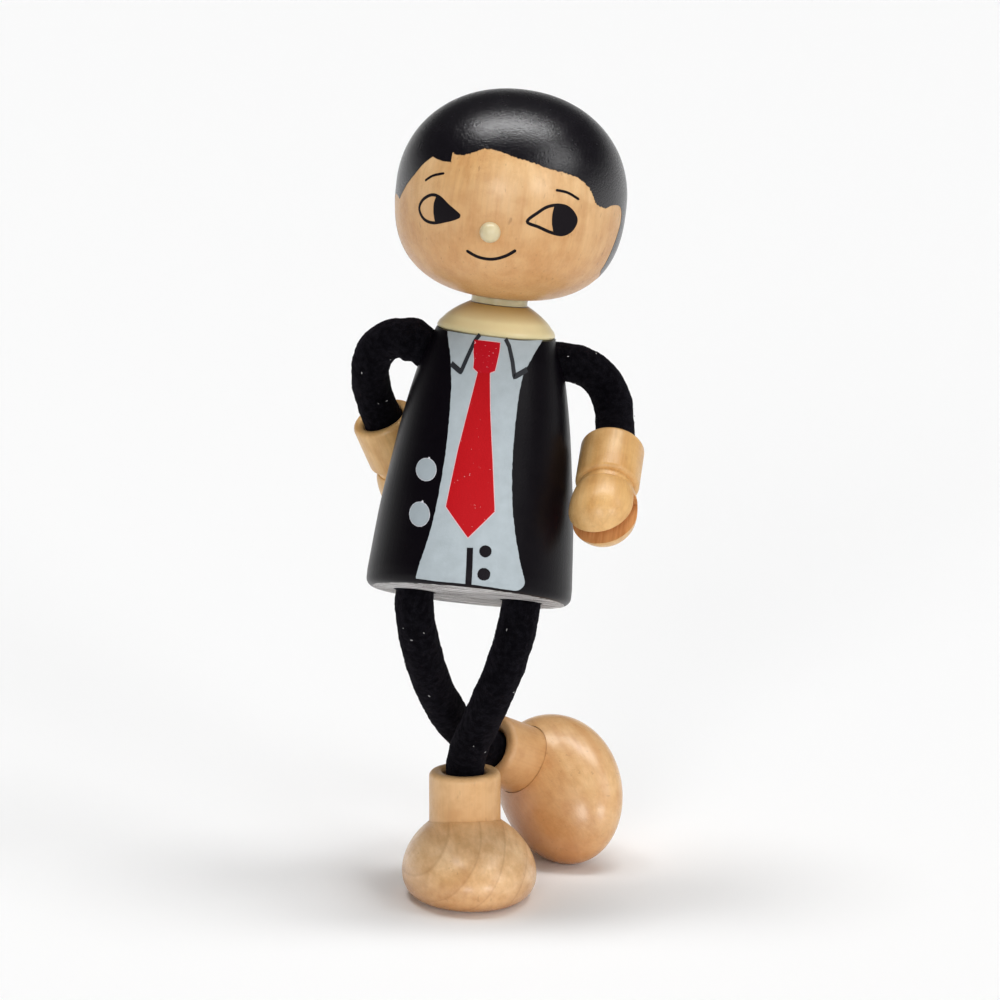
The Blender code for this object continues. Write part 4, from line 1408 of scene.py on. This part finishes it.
# %% Shape the shoes
left_place = Matrix.Rotation(radians(8.6), 4, "Z")
right_place = (
    Matrix.Translation((16.6 * MM, 25.1 * MM, 12.1 * MM))
    @ Matrix.Rotation(radians(224.2), 4, "Z")
    @ Matrix.Rotation(radians(66.0), 4, "Y")
    @ Matrix.Rotation(radians(146.0), 4, "Z")
)
middle_of_shoe = Vector((0, (shoe_heel - shoe_toe) / 2, shoe_height / 2))
# Painted shade on the raised shoe: its colour goes deep away from this way towards the light.
light_way = right_place.to_3x3().inverted() @ Vector((0.6, 0, 0.8))
shaded_below = middle_of_shoe.dot(light_way) - 8 * MM
unshaded_above = shaded_below + 13 * MM
shaded_raised_shoe_lacquer = lacquered_wood(
    "shaded_raised_shoe_lacquer", (0.75, 0.475, 0.23), (0.57, 0.27, 0.095), shoe_stock, 0.07, 0.5,
    flecks=0.3, gloss=0.75, painted_shade=(light_way, shaded_below, unshaded_above)
)
# The raised cuff is a darker copy of the standing cuff's finish: painted shade.
shaded_raised_cuff_lacquer = lacquered_wood(
    "shaded_raised_cuff_lacquer", (0.66, 0.385, 0.175), (0.58, 0.31, 0.125), dowel_stock, 0.1, 0.35,
    flecks=0.2
)
make_foot("left", left_place, shoe_lacquer, cuff_lacquer)
make_foot("right", right_place, shaded_raised_shoe_lacquer, shaded_raised_cuff_lacquer)

# %% [markdown]
# ## Velvet stems
#
# Each limb is a velvet-covered rope with a wire down its middle. Its line runs straight out of the
# body, bends in one smooth curve and runs straight into the cuff. The rope is skinned with rings
# of points, and every point is pushed in or out by noise: broad soft lumps, and a fine pile. Where
# the raised arm turns down close to the body, its velvet bunches up a little. A stem crosses
# several joints, so it is cut into one piece per joint, at places that stay stiff.

# %% Find the line of a stem
def bezier(p0, p1, p2, p3, t):
    s = 1 - t
    return p0 * s**3 + p1 * 3 * s * s * t + p2 * 3 * s * t * t + p3 * t**3


class StemLine:
    """The centre line of a stem, measured from the wall of the body."""

    def __init__(self, start, depth, start_pull, end, end_depth, end_pull):
        out = np.array(start.to_3x3() @ Vector((0, 0, 1)))
        into = np.array(end.to_3x3() @ Vector((0, 0, -1)))
        first = np.array(start.translation)
        last = np.array(end.translation)
        t = np.linspace(0, 1, 200)[:, None]
        curve = bezier(first, first + out * start_pull, last - into * end_pull, last, t)
        self.points = np.vstack([first - out * depth, curve, last + into * end_depth])
        gaps = np.linalg.norm(np.diff(self.points, axis=0), axis=1)
        self.places = np.concatenate([[0], np.cumsum(gaps)]) - depth
        self.length = self.places[-1] - end_depth
        self.low = -depth
        self.high = self.length + end_depth

    def at(self, place):
        return np.array([np.interp(place, self.places, values) for values in self.points.T])


mouth = Matrix.Translation((0, 0, cuff_top))
arm_depth = 6.0 * MM
hand_depth = 5.8 * MM
leg_depth = 10.8 * MM
foot_depth = 7.8 * MM
left_arm = StemLine(
    shoulder_places["left"], arm_depth, 6.5 * MM, left_mouth, hand_depth, 11.6 * MM
)
right_arm = StemLine(
    shoulder_places["right"], arm_depth, 5.6 * MM, right_mouth, hand_depth, 15.4 * MM
)
left_leg = StemLine(
    hip_places["left"], leg_depth, 12.5 * MM, left_place @ mouth, foot_depth, 5.5 * MM
)
right_leg = StemLine(
    hip_places["right"], leg_depth, 7.0 * MM, right_place @ mouth, foot_depth, 12.5 * MM
)
stems = (left_arm, right_arm, left_leg, right_leg)
print("stem lengths in mm:", [round(stem.length / MM, 1) for stem in stems])

# %% Skin a stem with velvet
rope_sides = 72
wire_sides = 12
ring_gap = 0.26 * MM
raised_arm_bunch = 0.55 * MM
bunch_place = 2.8 * MM
bunch_reach = 1.5 * MM
pile_noises = ((330, 0.22), (1300, 0.10), (4200, 0.06))


def pile(point, seed):
    """How far the velvet stands out at a point: lumps, tufts and fine pile."""
    height = 0
    for axis, (scale, share) in enumerate(pile_noises):
        shift = Vector([seed if i == axis else 0 for i in range(3)])
        height += noise.noise(Vector(point) * scale + shift) * share
    return height * MM


def stem_rings(line, radius, sides, seed=None, bunch_height=0.0):
    """Rings of points along a stem, with their middle points. A seed gives it a velvet pile."""
    places = np.linspace(line.low, line.high, max(2, int((line.high - line.low) / ring_gap)) + 1)
    middles = np.array([line.at(s) for s in places])
    ahead = np.gradient(middles, axis=0)
    ahead /= np.linalg.norm(ahead, axis=1)[:, None]
    side = np.cross(ahead[0], (0.3, 0.9, 0.2))
    rings = []
    for place, middle, way in zip(places, middles, ahead):
        bunch = bunch_height * exp(-((place - bunch_place) / bunch_reach) ** 2)
        side = side - way * (side @ way)
        side = side / np.linalg.norm(side)
        up = np.cross(way, side)
        ring = []
        for i in range(sides):
            angle = 2 * pi * i / sides
            outward = side * cos(angle) + up * sin(angle)
            reach = radius
            if seed is not None:
                reach += pile(middle + outward * radius, seed) + bunch
            ring.append(middle + outward * reach)
        rings.append(ring)
    return places, middles, rings


def tube_piece(name, places, middles, rings, low, high, finishes):
    """The closed stretch of a tube between two places along it."""
    chosen = [i for i, s in enumerate(places) if low - ring_gap / 2 <= s <= high + ring_gap / 2]
    sides = len(rings[0])
    points = [p for i in chosen for p in rings[i]]
    last = len(points) - sides
    start_cap, end_cap = len(points), len(points) + 1
    points += [middles[chosen[0]], middles[chosen[-1]]]
    around = [(k, (k + 1) % sides) for k in range(sides)]
    faces = []
    for row in range(0, last, sides):
        faces += [(row + k, row + m, row + sides + m, row + sides + k) for k, m in around]
    for k, m in around:
        faces += [(start_cap, m, k), (end_cap, last + k, last + m)]
    return new_piece(name, points, faces, finishes, Matrix.Identity(4))


print("rope sides:", rope_sides, "and wire sides:", wire_sides)

# %% [markdown]
# A few specks of pale lint cling to the pile. Each is a tiny twisted fibre pressed into the velvet,
# and is part of the same mesh, so it bends with the stem.

# %% Add lint to a stretch
def add_lint(piece, line, low, high, count, seed):
    """Scatter short pale fibres over the outside of a stretch."""
    dice = random.Random(seed)
    with reworking(piece.data) as work:
        for _ in range(count):
            place = dice.uniform(low, high)
            middle = Vector(line.at(place))
            way = (Vector(line.at(place + ring_gap)) - middle).normalized()
            angle = dice.uniform(0, 2 * pi)
            side = way.orthogonal().normalized()
            outward = (Matrix.Rotation(angle, 3, way) @ side).normalized()
            centre = middle + outward * (rope_radius + 0.06 * MM)
            around = towards(centre, outward, way) @ Matrix.Rotation(dice.uniform(0, pi), 4, "Z")
            size = (dice.uniform(0.10, 0.26) * MM, dice.uniform(0.05, 0.09) * MM, 0.05 * MM)
            fibre = around @ Matrix.Diagonal((*size, 1))
            before = len(work.faces)
            bmesh.ops.create_icosphere(work, subdivisions=2, radius=1, matrix=fibre)
            work.faces.ensure_lookup_table()
            for face in work.faces[before:]:
                face.material_index = 1
                face.smooth = True


print("lint ready")

# %% [markdown]
# Each limb has a plan: the bodies it joins after the root, the shares of its length where it is
# cut, for each joint the share where it bends and how far the bend spreads to either side, and the
# solid ropes it stands for, two to a piece.

# %% Build the four stems
wire_radius = 0.7 * MM
lint_count = 5
limb_plans = {
    "arm": {
        "bodies": ("upper_arm", "hand"),
        "cuts": (0.35,),
        "bends": ((0.13, 0.13), (0.59, 0.156)),
        "ropes": ("shoulder", "upper_arm", "elbow", "forearm"),
    },
    "leg": {
        "bodies": ("thigh", "shin", "foot"),
        "cuts": (0.295, 0.68),
        "bends": ((0.095, 0.095), (0.485, 0.11), (0.885, 0.1)),
        "ropes": ("hip", "thigh", "knee", "shin", "ankle", "foot"),
    },
}


def dress_limb(side, kind, line, seed, bunch_height=0.0):
    """Skin a limb and its wire, one piece for each joint that bends it."""
    plan = limb_plans[kind]
    ropes = [f"{side}_{rope}_rope" for rope in plan["ropes"]]
    ends = [line.low] + [line.length * share for share in plan["cuts"]] + [line.high]
    skin = stem_rings(line, rope_radius, rope_sides, seed, bunch_height)
    core = stem_rings(line, wire_radius, wire_sides)
    for index, (hinge, reach) in enumerate(plan["bends"]):
        low, high = ends[index:index + 2]
        start = tuple(line.at(line.length * (hinge - reach)))
        end = tuple(line.at(line.length * (hinge + reach)))
        rope = tube_piece(f"{side}_{kind}_velvet_{index}", *skin, low, high, [velvet, lint])
        add_lint(rope, line, max(low, 0), min(high, line.length), lint_count, seed + index)
        wire = tube_piece(f"{side}_{kind}_wire_{index}", *core, low, high, [wire_steel])
        for piece, slot_name, nodes in (
            (rope, "black_velvet", ropes[index * 2:index * 2 + 2]),
            (wire, "core_wire", [f"{side}_{kind}_wire"]),
        ):
            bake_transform(piece)
            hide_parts(*nodes)


dress_limb("left", "arm", left_arm, 11)
dress_limb("right", "arm", right_arm, 23, raised_arm_bunch)
dress_limb("left", "leg", left_leg, 37)
dress_limb("right", "leg", right_leg, 51)

# %% [markdown]
# ## Settle the pieces
#
# Each piece was made upright in its own axes, which is where its grain runs, and was then leaned
# into place by its object. Blender measures an object by a box along those leaning axes, and that
# box is bigger than the piece. So the place now goes into the mesh, and the upright coordinates
# are kept on the points, where the finishes read them.

# %% Settle the pieces
def settle(piece):
    """Keep the piece's own coordinates on its points and move its place into the mesh."""
    data = piece.data
    count = len(data.vertices)
    upright = np.empty(count * 3, np.float32)
    data.vertices.foreach_get("co", upright)
    data.attributes.new(own_place, "FLOAT_VECTOR", "POINT").data.foreach_set("vector", upright)
    data.transform(piece.matrix_world)
    piece.matrix_world = Matrix.Identity(4)
    return count


bpy.context.view_layer.update()
points_made = sum(settle(piece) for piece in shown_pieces() if piece not in frame["nodes"].values())
bpy.context.view_layer.update()
print("points in all the pieces:", points_made)

# %% [markdown]
# ## The size
#
# The dressed doll has to fill the same box as the solid model.
